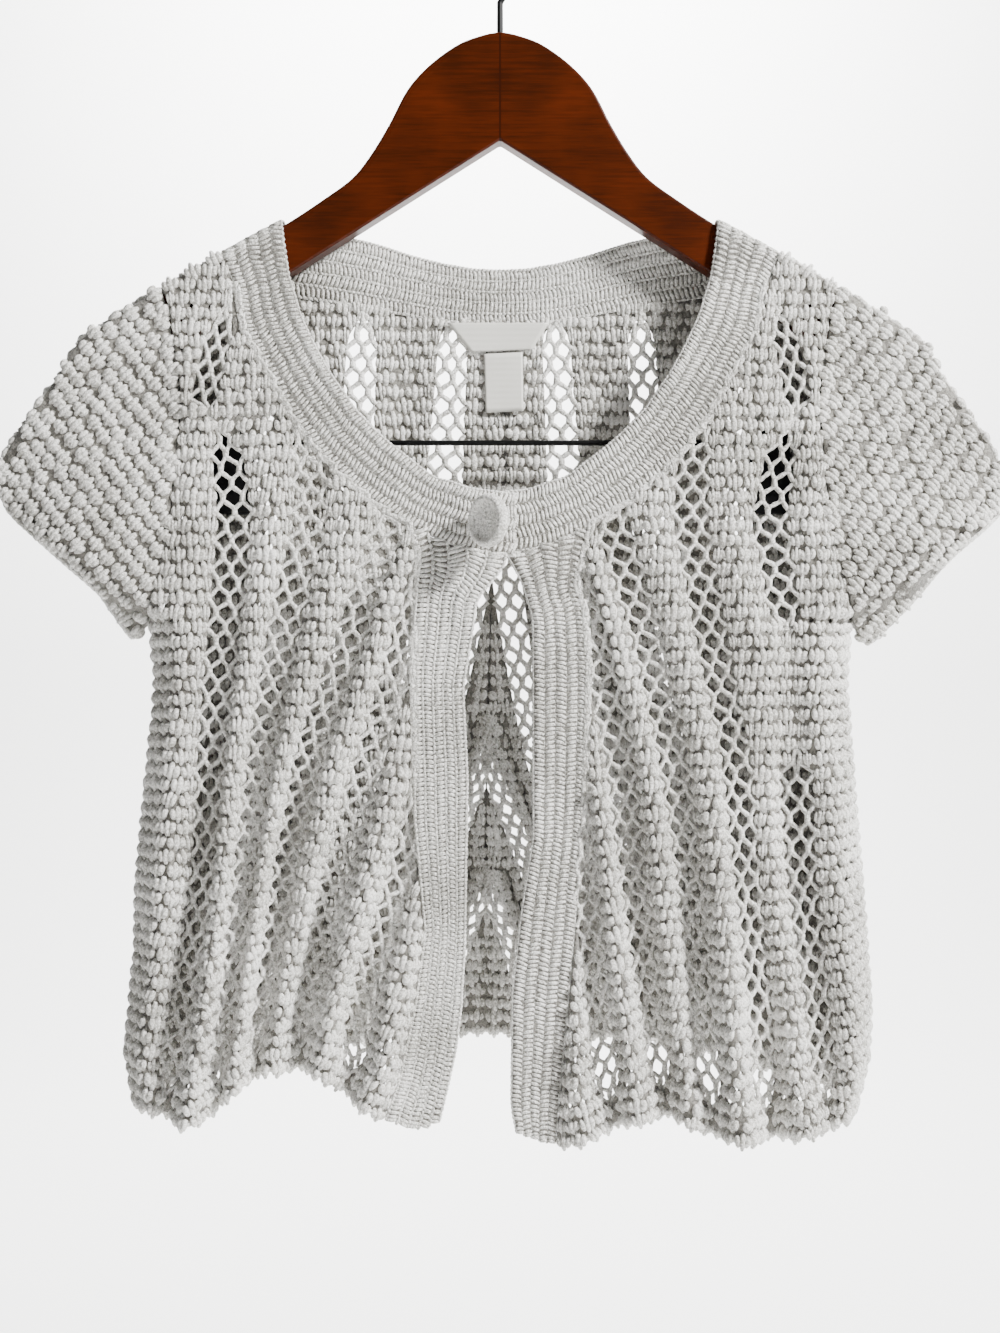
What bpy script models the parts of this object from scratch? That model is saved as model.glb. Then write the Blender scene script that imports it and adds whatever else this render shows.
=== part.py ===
"""Short-sleeved crochet cardigan, hung on a wooden clip hanger.

Left and right are the wearer's. The front faces -Y, +X is to the viewer's right, and the origin is
where the rail touches the inside of the hook. Tables are in millimetres: "out" is the distance from
the middle line towards one side, and "drop" is the distance below the top of the wooden hanger.
"""
import math
from collections import namedtuple

import bmesh
import bpy
import numpy as np
from mathutils import Vector

# Driving sizes of the hanger, in millimetres
HOOK_RISE = 70.0
HOOK_WIRE = 3.5
HOOK_INNER_RADIUS = 19.5
HOOK_ENTRY_ANGLE = -60
HOOK_TIP_ANGLE = 195
HOOK_BEND_DROP = -18.0
SOCKET_DEPTH = 12.0
SOCKET_CLEARANCE = 0.4
WOOD_THICKNESS = 13.0
WOOD_BEVEL = 3.0
BAR_DROP = 223.0
BAR_WIRE = 3.0
BAR_HALF_SPAN = 175.0
BAR_CORNER = 9.0
CLIP_OUT = 146.5
CLIP_WIDTH = 22.0

# Driving sizes of the cloth; a row is one repeat of the lace
WALL = 2.4
BAND_WALL = 2.8
RIBS = 5
RIB_HEIGHT = 0.9
SEAM = 0.6
ROW = 15.5
FIRST_ROW = 138.5
ROW_COUNT = 30
ROWS = [FIRST_ROW + ROW * step for step in range(ROW_COUNT)]
UNDERARM = ROWS[12]
LAST_ROW = ROWS[-1]
HEM_PULL_START = 330.0
FOLD_OVER = 3.0
SIDE_ROUND = 30.0
SIDE_RETURN = 2.5
FOLD_RUN = 150.0
HOLE_WIDTH = 9.5
HOLE_HEIGHT = 10.5
SLEEVE_STEPS = 6
SLEEVE_HALF_GAP = 4.5
LAP = 2.5
LAP_RUN = 16.0

# Button and labels
BUTTON_X = -5.8
BUTTON_DROP = 269.0
BUTTON_TURN = 42
BUTTON_SHANK = 12.6
LABEL_THICKNESS = 1.0
LABEL_STAND = 2.7

Point = namedtuple("Point", "out drop")
Columns = namedtuple("Columns", "drop lace_1 lace_2 lace_3 lace_4 lace_5")
Width = namedtuple("Width", "drop out")
Section = namedtuple("Section", "outer_out outer_drop inner_out inner_drop")
Fold = namedtuple("Fold", "x_top x_hem width depth start")
Depth = namedtuple("Depth", "below front back")
Vertex = namedtuple("Vertex", "x drop wave seam")
Side = namedtuple("Side", "sign columns closed band_outer band_inner hem side sleeve_hem")

# The shoulder line, which goes on as the top of the sleeve
SHOULDER = [
    Point(119, 102), Point(152, 120), Point(183, 138), Point(208, 153), Point(229, 167.5),
    Point(241, 188), Point(256, 208), Point(268, 226), Point(274, 240),
]
NECK_SLOPE = 0.55

ARMHOLE = [
    Width(138, 183), Width(154, 179), Width(203, 171.5), Width(267, 176.5), Width(UNDERARM, 190),
]
SIDE_RIGHT = [
    Width(UNDERARM, 190), Width(355, 187), Width(398, 191), Width(464, 197), Width(506, 198),
    Width(540, 201), Width(564, 203), Width(588, 199),
]
SIDE_LEFT = [
    Width(UNDERARM, 190), Width(355, 188), Width(398, 191), Width(464, 196), Width(506, 199),
    Width(540, 201), Width(564, 200), Width(588, 194),
]

# How far the cloth stands from the hanger's plane, by the distance below the shoulder line
DEPTHS = [
    Depth(0, 8.9, 8.9), Depth(30, 9.8, 9.4), Depth(120, 19, 15), Depth(250, 25, 20),
    Depth(420, 30, 26),
]
# Half the height of the wave that the lace columns make
WAVE = [Width(120, 0), Width(200, 1), Width(270, 1.8), Width(395, 4), Width(523, 7), Width(588, 8)]
CREST = -1.0
BAND_CREST = -0.7
LACE_RIM = 0.4
LACE_MIDDLE = 0.9

# Middle lines of the lace columns; each starts where it comes out from under the band
COLUMNS_RIGHT = [
    Columns(145, 152, 95, 30, 10, -10), Columns(203, 151, 104, 40, 20, 0),
    Columns(267, 146, 101, 58, 30, 10), Columns(331, 148, 117, 80, 50, 22),
    Columns(395, 154, 127, 102, 69, 37), Columns(459, 158, 135, 114, 86, 52),
    Columns(523, 168, 141, 122, 98, 71), Columns(588, 180, 150, 132, 109, 82),
]
COLUMNS_LEFT = [
    Columns(145, 155, 95, 30, 10, -10), Columns(203, 146, 105, 40, 20, 0),
    Columns(267, 142, 102, 60, 30, 10), Columns(331, 155, 113, 78, 50, 22),
    Columns(395, 159, 126, 92, 64, 37), Columns(459, 162, 132, 101, 70, 46),
    Columns(523, 169, 138, 107, 79, 52), Columns(588, 175, 142, 113, 88, 60),
]
COLUMNS_BACK = [
    Columns(155, 126, 77, 28, -6, -20), Columns(270, 129, 83, 37, 4, -14),
    Columns(400, 143, 102, 61, 25, 0), Columns(480, 155, 117, 79, 46, 15),
    Columns(530, 163, 127, 91, 59, 30), Columns(588, 173, 139, 105, 73, 44),
]
# How far the back's middle hangs to one side, fading out towards the side seams
BACK_MIDDLE = [Width(260, 3), Width(400, -6), Width(588, -7)]
BACK_MIDDLE_REACH = 120.0
BACK_MIDDLE_LEAST = 3.0
BACK_LINE_COUNT = 3 * len(Columns._fields)
LACE_HALF_WIDTH = [
    Width(138, 6.5), Width(203, 7.5), Width(270, 9.5), Width(395, 8), Width(523, 6.5), Width(588, 6.5),
]

HEM_RIGHT = [
    Point(24, 578), Point(30, 583), Point(37, 591), Point(50, 588), Point(70, 579), Point(85, 568),
    Point(95, 559), Point(129, 559), Point(146, 574), Point(163, 588), Point(183, 581), Point(203, 578),
]
HEM_LEFT = [
    Point(10, 590), Point(17, 596), Point(29, 598), Point(46, 595), Point(60, 588), Point(71, 584),
    Point(90, 582), Point(118, 594), Point(151, 595), Point(182, 588), Point(200, 578),
]
HEM_BACK = [Point(0, 549), Point(60, 552), Point(120, 557), Point(170, 569), Point(200, 578)]

# Big soft folds; depth is towards the inside of the garment
FRONT_FOLDS = [
    Fold(-100, -112, 20, 9, 360), Fold(-128, -163, 13, -4, 400), Fold(-60, -58, 14, -4, 420),
    Fold(146, 152, 9, 9, 280), Fold(96, 90, 14, 5, 400), Fold(120, 122, 10, -4, 420),
    Fold(-162, -172, 7, 4, 330),
]
BACK_FOLDS = [
    Fold(-148, -150, 13, 7, 300), Fold(-98, -102, 15, 6, 360), Fold(-6, -2, 12, 7, 330),
    Fold(52, 50, 14, 6, 380), Fold(104, 108, 12, 8, 310), Fold(150, 156, 10, 6, 400),
]

# The neckband from the shoulder line to the middle, on the front and on the back
NECK_FRONT = [
    Section(151, 120, 119, 102), Section(143, 140, 115, 133), Section(139, 164, 108, 156),
    Section(128, 183, 100, 173), Section(113, 210, 91, 189), Section(96, 233, 77, 209),
    Section(77, 251, 61, 225), Section(49, 270, 36, 244), Section(23, 281, 15, 251),
]
NECK_BACK = [
    Section(151, 120, 119, 102), Section(139, 132, 108, 105), Section(118, 140, 97, 107.5),
    Section(97, 143, 84, 109), Section(76, 146, 68, 112.5), Section(56, 149.5, 51, 118),
    Section(36, 153, 33, 122.5), Section(16, 155, 15, 125.5), Section(0, 155.5, 0, 126),
]
NECK_END_UPPER = Section(-7, 286.5, -8, 254)
NECK_END_UNDER = Section(-17, 287, -17, 254)
LAP_START_UPPER = 35.0
LAP_START_UNDER = 26.0
BAND_CORNER = NECK_FRONT[7].outer_drop
NECK_END_OUT = NECK_FRONT[0].outer_out + SEAM

# The front bands' edges; an inner edge past the middle line is negative
BAND_RIGHT_OUTER = [
    Width(270, 49), Width(289, 43.5), Width(348, 47), Width(427, 45), Width(486, 39.5), Width(525, 45),
    Width(565, 53), Width(588, 60),
]
BAND_RIGHT_INNER = [
    Width(289, -3), Width(299, 3), Width(310, 12.5), Width(358, 20), Width(407, 17.6), Width(501, 19),
    Width(535, 21), Width(558, 24), Width(588, 32),
]
BAND_LEFT_OUTER = [
    Width(270, 49), Width(300, 41), Width(318, 46), Width(349, 47.5), Width(409, 45.5), Width(489, 38.5),
    Width(570, 30.5), Width(588, 29),
]
BAND_LEFT_INNER = [
    Width(286, 4), Width(302, 12.3), Width(320, 18), Width(433, 18.2), Width(474, 11.7), Width(515, 7),
    Width(576, 6.4), Width(588, 9),
]
BAND_SLANT_RUN = 50.0

SLEEVE_HEM_RIGHT = [
    Point(274, 240), Point(266, 262), Point(252, 274), Point(236, 288), Point(219, 303),
    Point(207, 320), Point(200, 330),
]
SLEEVE_HEM_LEFT = [
    Point(274, 240), Point(273, 262), Point(243, 287), Point(225, 309), Point(211, 323),
    Point(204, 330), Point(200, 333),
]

# Drops between which the first column's lace is closed by clusters or shut in a deep fold
RIGHT = Side(-1, COLUMNS_RIGHT, [(198, 255)], BAND_RIGHT_OUTER, BAND_RIGHT_INNER, HEM_RIGHT,
             SIDE_RIGHT, SLEEVE_HEM_RIGHT)
LEFT = Side(1, COLUMNS_LEFT, [(212, 275), (318, 400)], BAND_LEFT_OUTER, BAND_LEFT_INNER, HEM_LEFT,
            SIDE_LEFT, SLEEVE_HEM_LEFT)

# The wooden body's outline, from the top of its crown round one arm's end to the inner corner
WOOD = [
    Point(0, 0), Point(14, 3), Point(25, 8), Point(39, 18.5), Point(50.5, 31.5), Point(60.5, 50.5),
    Point(70.5, 67), Point(80.5, 79.5), Point(96, 91), Point(119, 106), Point(152, 124.5),
    Point(183, 142.5), Point(208, 157.5), Point(222, 166.5), Point(228, 173), Point(229.5, 181),
    Point(226, 190), Point(217, 196), Point(0, 59),
]
# Half of a clip's side view, as depth and drop from the bar, round the outside and up the inside
ClipPoint = namedtuple("ClipPoint", "y drop")
CLIP = [
    ClipPoint(2.5, -9), ClipPoint(6, -8), ClipPoint(8, -2), ClipPoint(8, 10), ClipPoint(5.5, 30),
    ClipPoint(3, 39), ClipPoint(0.5, 39), ClipPoint(0.5, 33), ClipPoint(3.5, 16), ClipPoint(2.6, 5),
    ClipPoint(2.2, 0.6), ClipPoint(1.3, -1.9),
]
# Half of the button's section, down from the middle of its face to its shank
ProfilePoint = namedtuple("ProfilePoint", "radius height")
BUTTON = [
    ProfilePoint(0, 2.5), ProfilePoint(8, 2.7), ProfilePoint(11, 3.5), ProfilePoint(13.2, 2.6),
    ProfilePoint(14, 0.4), ProfilePoint(13.5, -2.0), ProfilePoint(11.3, -3.3), ProfilePoint(4.5, -3.9),
    ProfilePoint(3.6, -5), ProfilePoint(3.6, -BUTTON_SHANK), ProfilePoint(0, -BUTTON_SHANK),
]


def read(table, drop, field="out"):
    """Read one column of a table at a drop, straight between its rows."""
    return float(np.interp(drop, [row.drop for row in table], [getattr(row, field) for row in table]))


def read_outline(table, out):
    """Read the drop of an outline at a distance from the middle line."""
    return float(np.interp(out, [row.out for row in table], [row.drop for row in table]))


def rounded(distance, radius):
    """Height of a round edge, from 0 at its rim to 1 at its radius."""
    share = min(max(distance / radius, 0.0), 1.0)
    return math.sqrt(1.0 - (1.0 - share) ** 2)


def smooth(value):
    """Ease from 0 to 1."""
    value = min(max(value, 0.0), 1.0)
    return value * value * (3.0 - 2.0 * value)


def shoulder_drop(out):
    """Drop of the shoulder line, carried on inside the neck at the hanger's slope."""
    if out < SHOULDER[0].out:
        return SHOULDER[0].drop - NECK_SLOPE * (SHOULDER[0].out - out)
    return read_outline(SHOULDER, out)


def edge_out(side, drop):
    """Outer edge of a front or the back: the armhole, then the side seam."""
    return read(ARMHOLE, drop) if drop < UNDERARM else read(side.side, drop)


def side_margin(x, drop):
    """How far a point lies inside the side fold, which opens into the sleeve above the underarm."""
    side = LEFT if x > 0 else RIGHT
    if drop >= UNDERARM:
        return read(side.side, drop) - abs(x)
    return read(side.side, UNDERARM) - abs(x) + 1.5 * (UNDERARM - drop)


def big_folds(folds, x, drop):
    """Sum of the soft folds at a point, towards the inside."""
    total = 0.0
    for fold in folds:
        run = smooth((drop - fold.start) / FOLD_RUN)
        share = min(max((drop - fold.start) / (LAST_ROW - fold.start), 0.0), 1.0)
        middle = fold.x_top + (fold.x_hem - fold.x_top) * share
        total += fold.depth * run * math.exp(-((x - middle) / fold.width) ** 2)
    return total


def cloth_y(x, drop, wave=0.0, face=-1):
    """Depth of the cloth's middle surface; face is -1 on the front and 1 on the back."""
    below = drop - shoulder_drop(abs(x))
    stands = [row.front if face < 0 else row.back for row in DEPTHS]
    stand = float(np.interp(below, [row.below for row in DEPTHS], stands))
    stand *= 1.0 - 0.3 * smooth((abs(x) - 236.0) / 38.0)
    margin = side_margin(x, drop)
    stand *= rounded(below, FOLD_OVER) * rounded(margin, SIDE_ROUND)
    folds = big_folds(FRONT_FOLDS if face < 0 else BACK_FOLDS, x, drop)
    stand -= smooth(margin / 24.0) * (folds + wave * read(WAVE, drop))
    return face * stand


def pulled(drop, hem, out):
    """Move a row to follow the hem, more the nearer it is."""
    share = smooth((drop - HEM_PULL_START) / (LAST_ROW - HEM_PULL_START))
    return drop + (read_outline(hem, out) - LAST_ROW) * share


def place(x, y, drop):
    """A point in metres from sizes in millimetres."""
    return Vector((x, y, -(HOOK_RISE + drop))) * 0.001


def new_material(name, colour, roughness, metallic=0.0):
    """Plain Principled material."""
    material = bpy.data.materials.new(name)
    material.use_nodes = True
    shader = material.node_tree.nodes["Principled BSDF"]
    shader.inputs["Base Color"].default_value = (*colour, 1.0)
    shader.inputs["Roughness"].default_value = roughness
    shader.inputs["Metallic"].default_value = metallic
    return material


def new_object(name, data, material, collection):
    """Put a mesh or a curve in a collection."""
    obj = bpy.data.objects.new(name, data)
    collection.objects.link(obj)
    if material:
        data.materials.append(material)
    return obj


def new_mesh(name, points, faces):
    """Make a mesh from points in metres and faces."""
    mesh = bpy.data.meshes.new(name)
    mesh.from_pydata(points, [], faces)
    return mesh


def thicken(obj, thickness):
    """Give an open cloth surface its wall."""
    wall = obj.modifiers.new("wall", "SOLIDIFY")
    wall.thickness = thickness * 0.001
    wall.offset = 0.0


class Panel:
    """Collects a panel's points and faces, and joins points that fall together."""

    def __init__(self, face, hems):
        self.face = face
        self.hems = hems
        self.points = []
        self.faces = []
        self.known = {}
        self.gaps = 0

    def point(self, vertex):
        key = (round(vertex.x, 1), round(vertex.drop, 1))
        if key not in self.known:
            self.known[key] = len(self.points)
            y = cloth_y(vertex.x, vertex.drop, vertex.wave, self.face)
            if vertex.seam:
                y = self.face * SEAM
            hem = self.hems[1 if vertex.x > 0 else 0]
            self.points.append(place(vertex.x, y, pulled(vertex.drop, hem, abs(vertex.x))))
        return self.known[key]

    def plain_cell(self, corners):
        ring = []
        for corner in corners:
            index = self.point(corner)
            if index not in ring:
                ring.append(index)
        if len(ring) > 2:
            self.faces.append(ring)

    def lace_cell(self, corners):
        """A cell with one diamond gap in its middle."""
        middle_x = sum(corner.x for corner in corners) / 4
        middle_drop = sum(corner.drop for corner in corners) / 4
        lean = (corners[2].x + corners[3].x - corners[0].x - corners[1].x) / 2
        half_width = min(HOLE_WIDTH / 2, 0.37 * abs(corners[1].x - corners[0].x))
        half_height = HOLE_HEIGHT / 2
        turn = 1 if corners[1].x > corners[0].x else -1
        shift = lean * half_height / ROW
        up = self.point(Vertex(middle_x - shift, middle_drop - half_height, LACE_MIDDLE, False))
        right = self.point(Vertex(middle_x + turn * half_width, middle_drop, LACE_MIDDLE, False))
        down = self.point(Vertex(middle_x + shift, middle_drop + half_height, LACE_MIDDLE, False))
        left = self.point(Vertex(middle_x - turn * half_width, middle_drop, LACE_MIDDLE, False))
        a, b, c, d = [self.point(corner) for corner in corners]
        self.faces += [
            [a, b, up], [b, right, up], [b, c, right], [c, down, right],
            [c, d, down], [d, left, down], [d, a, left], [a, up, left],
        ]
        self.gaps += 1

    def fill(self, rows, first_open, is_lace):
        """Join neighbouring rows; is_lace says which cells have a gap."""
        for level, (upper, lower) in enumerate(zip(rows, rows[1:])):
            for step in range(len(upper) - 1):
                if level == 0 and upper[step].seam != upper[step + 1].seam:
                    continue
                corners = [upper[step], upper[step + 1], lower[step + 1], lower[step]]
                open_cell = first_open <= level < len(rows) - 3
                open_cell = open_cell and min(corner.wave for corner in corners) >= LACE_RIM
                whole = len({self.point(corner) for corner in corners}) == 4
                if open_cell and whole and is_lace(step, corners):
                    self.lace_cell(corners)
                else:
                    self.plain_cell(corners)

    def build(self, name, material, collection):
        obj = new_object(name, new_mesh(name, self.points, self.faces), material, collection)
        thicken(obj, WALL)
        return obj


def neck_section(table, key_field, key):
    """Read a section of the neckband by its outer edge's drop or distance."""
    keys = [getattr(row, key_field) for row in table]
    if keys[0] > keys[-1]:
        table = table[::-1]
        keys = keys[::-1]
    return Section(*[float(np.interp(key, keys, [getattr(row, field) for row in table]))
                     for field in Section._fields])


def front_lines(side, drop):
    """Distance and wave of a front's lines at a drop, from its outer edge to its band."""
    edge = edge_out(side, drop)
    if drop < BAND_CORNER:
        inner = neck_section(NECK_FRONT, "outer_drop", drop).outer_out
    else:
        inner = read(side.band_outer, drop)
    inner += 1.5 * SEAM
    half = read(LACE_HALF_WIDTH, drop)
    lines = [(edge, 0.0), (edge - SIDE_RETURN if drop >= UNDERARM else edge, 0.0)]
    outer = edge
    for name in Columns._fields[1:]:
        middle = read(side.columns, drop, name)
        if middle - half < inner + 2.0:
            break
        lines += [((outer + middle + half) / 2, CREST), (middle + half, LACE_RIM),
                  (middle - half, LACE_RIM)]
        outer = middle - half
    lines.append(((outer + inner) / 2, BAND_CREST if outer - inner > 9 else 0.0))
    full_count = 4 + 3 * (len(Columns._fields) - 1)
    return lines + [(inner, 0.0)] * (full_count - len(lines))


def front_rows(side):
    """Rows of points of one front, from the shoulder line down."""
    first = front_lines(side, FIRST_ROW)
    armhole = first[0][0]
    top = [armhole, armhole, (armhole + NECK_END_OUT) / 2] + [NECK_END_OUT] * (len(first) - 3)
    rows = [
        [Vertex(side.sign * out, shoulder_drop(out), 0.0, True) for out in top],
        [Vertex(side.sign * out, shoulder_drop(out) + FOLD_OVER, 0.0, False) for out in top],
    ]
    for drop in ROWS:
        row = []
        for step, (out, wave) in enumerate(front_lines(side, drop)):
            low = max(drop, shoulder_drop(out) + FOLD_OVER)
            row.append(Vertex(side.sign * out, low, wave, step == 0 and drop >= UNDERARM))
        rows.append(row)
    return rows


def build_front(name, side, material, collection):
    """One front with a gap for each repeat of its lace columns."""
    panel = Panel(-1, (side.hem, side.hem))

    def is_lace(step, corners):
        drop = corners[0].drop
        shut = any(start < drop < end for start, end in side.closed)
        return step % 3 == 0 and not (step == 3 and shut)

    panel.fill(front_rows(side), 2, is_lace)
    panel.build(name, material, collection)
    return panel.gaps


def back_x(side, out, drop):
    """Place on the back at a distance from its middle, which hangs to one side lower down."""
    return side.sign * out + read(BACK_MIDDLE, drop) * smooth(1.0 - out / BACK_MIDDLE_REACH)


def back_lines(drop):
    """Position and wave of the back's lines at a drop, from the right side to the left."""
    halves = []
    half = read(LACE_HALF_WIDTH, drop)
    for side in (RIGHT, LEFT):
        edge = edge_out(side, drop)
        lines = [(edge, 0.0), (edge - SIDE_RETURN if drop >= UNDERARM else edge, 0.0)]
        outer = edge
        for name in Columns._fields[1:]:
            middle = read(COLUMNS_BACK, drop, name)
            if middle - half < BACK_MIDDLE_LEAST:
                break
            crest = (outer + middle + half) / 2
            if outer == edge and drop < ROWS[3]:
                crest = NECK_END_OUT
            lines += [(crest, CREST), (middle + half, LACE_RIM), (middle - half, LACE_RIM)]
            outer = middle - half
        lines += [(0.0, CREST)] * (BACK_LINE_COUNT - len(lines))
        halves.append([(back_x(side, out, drop), wave) for out, wave in lines])
    return halves[0] + halves[1][-2::-1]


def back_top(out):
    """Top edge of the back: under the neckband, then along the shoulder."""
    if out < NECK_END_OUT:
        return neck_section(NECK_BACK, "outer_out", out).outer_drop + SEAM
    return shoulder_drop(out)


def back_rows():
    """Rows of points of the back, from its top edge down."""
    lines = back_lines(FIRST_ROW)
    edge = len(lines) - 1
    rows = [[], []]
    for x, wave in lines:
        out = abs(x)
        on_shoulder = out >= NECK_END_OUT
        rows[0].append(Vertex(x, back_top(out), 0.0, on_shoulder))
        rows[1].append(Vertex(x, back_top(out) + (FOLD_OVER if on_shoulder else 0.0), 0.0, False))
    for drop in ROWS:
        row = []
        for step, (x, wave) in enumerate(back_lines(drop)):
            out = abs(x)
            base = back_top(out) + (FOLD_OVER if out >= NECK_END_OUT else 0.0)
            if drop < base + 4.0:
                row.append(Vertex(x, base, 0.0, False))
            else:
                row.append(Vertex(x, drop, wave, step in (0, edge) and drop >= UNDERARM))
        rows.append(row)
    return rows


def build_back(material, collection):
    """The back, with a gap for each repeat of its lace columns but the two at the side seams."""
    panel = Panel(1, (HEM_BACK, HEM_BACK))
    side_steps = (3, 2 * BACK_LINE_COUNT - 6)
    panel.fill(back_rows(), 4, lambda step, corners: step % 3 == 0 and step not in side_steps)
    panel.build("back", material, collection)
    return panel.gaps


def build_sleeve(name, side, material, collection):
    """One cap sleeve, a flattened tube from the armhole to its own hem."""
    start = [Point(read(ARMHOLE, FIRST_ROW), shoulder_drop(read(ARMHOLE, FIRST_ROW)))]
    start.append(Point(start[0].out, start[0].drop + FOLD_OVER))
    start += [Point(read(ARMHOLE, drop), drop) for drop in ROWS[1:12]]
    start.append(Point(read(ARMHOLE, UNDERARM) + 2 * SEAM, UNDERARM - 4 * SEAM))
    count = len(start)
    hem_shares = np.linspace(0, 1, len(side.sleeve_hem))
    ends = []
    for step in range(count):
        share = step / (count - 1)
        ends.append(Point(float(np.interp(share, hem_shares, [row.out for row in side.sleeve_hem])),
                          float(np.interp(share, hem_shares, [row.drop for row in side.sleeve_hem]))))
    first_out = start[0].out
    last_out = ends[0].out
    front = []
    for step, (inner, outer) in enumerate(zip(start, ends)):
        line = []
        for reach in range(SLEEVE_STEPS + 1):
            share = reach / SLEEVE_STEPS
            top_out = first_out + (last_out - first_out) * share
            top_drop = shoulder_drop(top_out)
            straight = start[0].drop + (ends[0].drop - start[0].drop) * share
            fade = (1.0 - step / (count - 1)) ** 2
            out = inner.out + (outer.out - inner.out) * share + (1.5 * SEAM)
            drop = inner.drop + (outer.drop - inner.drop) * share + (top_drop - straight) * fade
            if step == 0:
                drop = shoulder_drop(out)
            if step == 1:
                out = front[0][reach][0]
                drop = front[0][reach][1] + FOLD_OVER
            line.append((out, drop))
        front.append(line)
    points = []
    rings = []
    loop = [(step, -1) for step in range(count)] + [(step, 1) for step in range(count - 2, 0, -1)]
    for reach in range(SLEEVE_STEPS + 1):
        ring = []
        for step, face in loop:
            out, drop = front[step][reach]
            x = side.sign * out
            y = 0.0
            if step not in (0, count - 1):
                y = face * max(abs(cloth_y(x, drop, 0.0, face)), SLEEVE_HALF_GAP)
            ring.append(len(points))
            points.append(place(x, y, drop))
        rings.append(ring)
    faces = []
    for inner, outer in zip(rings, rings[1:]):
        for step in range(len(loop)):
            after = (step + 1) % len(loop)
            faces.append([inner[step], inner[after], outer[after], outer[step]])
    obj = new_object(name, new_mesh(name, points, faces), material, collection)
    thicken(obj, WALL)


def strip_mesh(name, sections):
    """A ribbed strip: each section is a row of middle-surface points across the strip."""
    count = len(sections)
    across = len(sections[0])
    inside_steps = (across - 1, (across - 1) // 2, 0)
    points = []
    rings = []
    for index, section in enumerate(sections):
        before = sections[max(index - 1, 0)]
        after = sections[min(index + 1, count - 1)]
        ring = []
        outwards = []
        for step, point in enumerate(section):
            along = after[step] - before[step]
            sideways = section[min(step + 1, across - 1)] - section[max(step - 1, 0)]
            outwards.append(sideways.cross(along).normalized())
        for step, point in enumerate(section):
            rib = RIB_HEIGHT if step % 2 else 0.0
            ring.append(len(points))
            points.append(point + outwards[step] * (BAND_WALL / 2 + rib) * 0.001)
        for step in inside_steps:
            ring.append(len(points))
            points.append(section[step] - outwards[step] * (BAND_WALL / 2) * 0.001)
        rings.append(ring)
    half = across // 2
    faces = []
    for ring in (rings[0], rings[-1]):
        far_inside, middle_inside, near_inside = ring[across:]
        faces.append(ring[:half + 1] + [middle_inside, near_inside])
        faces.append(ring[half:across] + [far_inside, middle_inside])
    for near, far in zip(rings, rings[1:]):
        for step in range(len(near)):
            after = (step + 1) % len(near)
            faces.append([near[step], near[after], far[after], far[step]])
    mesh = new_mesh(name, points, faces)
    work = bmesh.new()
    work.from_mesh(mesh)
    bmesh.ops.recalc_face_normals(work, faces=work.faces)
    if work.calc_volume(signed=True) < 0:
        bmesh.ops.reverse_faces(work, faces=work.faces)
    work.to_mesh(mesh)
    work.free()
    return mesh


def lap_y(out, start, toward):
    """Extra depth of a strip's end where the two fronts lap."""
    return toward * LAP * smooth((start - out) / LAP_RUN)


def neck_points(section, sign, face, lap_start, toward):
    """Middle-surface points across the neckband, from its outer edge to its inner edge."""
    points = []
    for step in range(2 * RIBS + 1):
        share = step / (2 * RIBS)
        out = section.outer_out + (section.inner_out - section.outer_out) * share
        drop = section.outer_drop + (section.inner_drop - section.outer_drop) * share
        y = 0.0 if face == 0 else cloth_y(sign * out, drop, 0.0, face)
        points.append(place(sign * out, y + lap_y(out, lap_start, toward), drop))
    return points


def neck_half(side, face, lap_start, toward, end):
    """Sections of one front or back half of the neckband, from the shoulder to the middle."""
    over = NECK_FRONT[0]
    folded = Section(over.outer_out, over.outer_drop + FOLD_OVER, over.inner_out,
                     over.inner_drop + FOLD_OVER)
    sections = [folded]
    if face < 0:
        sections += [neck_section(NECK_FRONT, "outer_drop", drop) for drop in ROWS if drop < BAND_CORNER]
        middle = neck_section(NECK_FRONT, "outer_drop", (BAND_CORNER + NECK_FRONT[8].outer_drop) / 2)
        sections += [NECK_FRONT[7], middle, NECK_FRONT[8]]
        last = NECK_FRONT[8]
        sections.append(Section(*[(a + b) / 2 for a, b in zip(last, end)]))
        sections.append(end)
    else:
        outs = [abs(x) for x, wave in back_lines(FIRST_ROW) if x < 0 and abs(x) < over.outer_out - 2]
        sections += [neck_section(NECK_BACK, "outer_out", out) for out in outs]
    return [neck_points(row, side.sign, face, lap_start, toward) for row in sections]


def build_neckband(material, collection):
    """The whole neckband in one strip, its right end lapped over its left end."""
    shoulder = [neck_points(NECK_FRONT[0], side.sign, 0, 0.0, 0) for side in (RIGHT, LEFT)]
    middle_back = neck_points(NECK_BACK[-1], 1, 1, -99.0, 0)
    sections = neck_half(RIGHT, -1, LAP_START_UPPER, -1, NECK_END_UPPER)[::-1]
    sections += [shoulder[0]] + neck_half(RIGHT, 1, -99.0, 0, None) + [middle_back]
    sections += neck_half(LEFT, 1, -99.0, 0, None)[::-1] + [shoulder[1]]
    sections += neck_half(LEFT, -1, LAP_START_UNDER, 1, NECK_END_UNDER)
    new_object("neckband", strip_mesh("neckband", sections), material, collection)


def neck_end_drop(out):
    """Lower edge of the neckband's front end, from the bands' corner past the middle line."""
    rows = [NECK_END_UPPER, NECK_FRONT[8], NECK_FRONT[7]]
    return float(np.interp(out, [row.outer_out for row in rows], [row.outer_drop for row in rows]))


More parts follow.
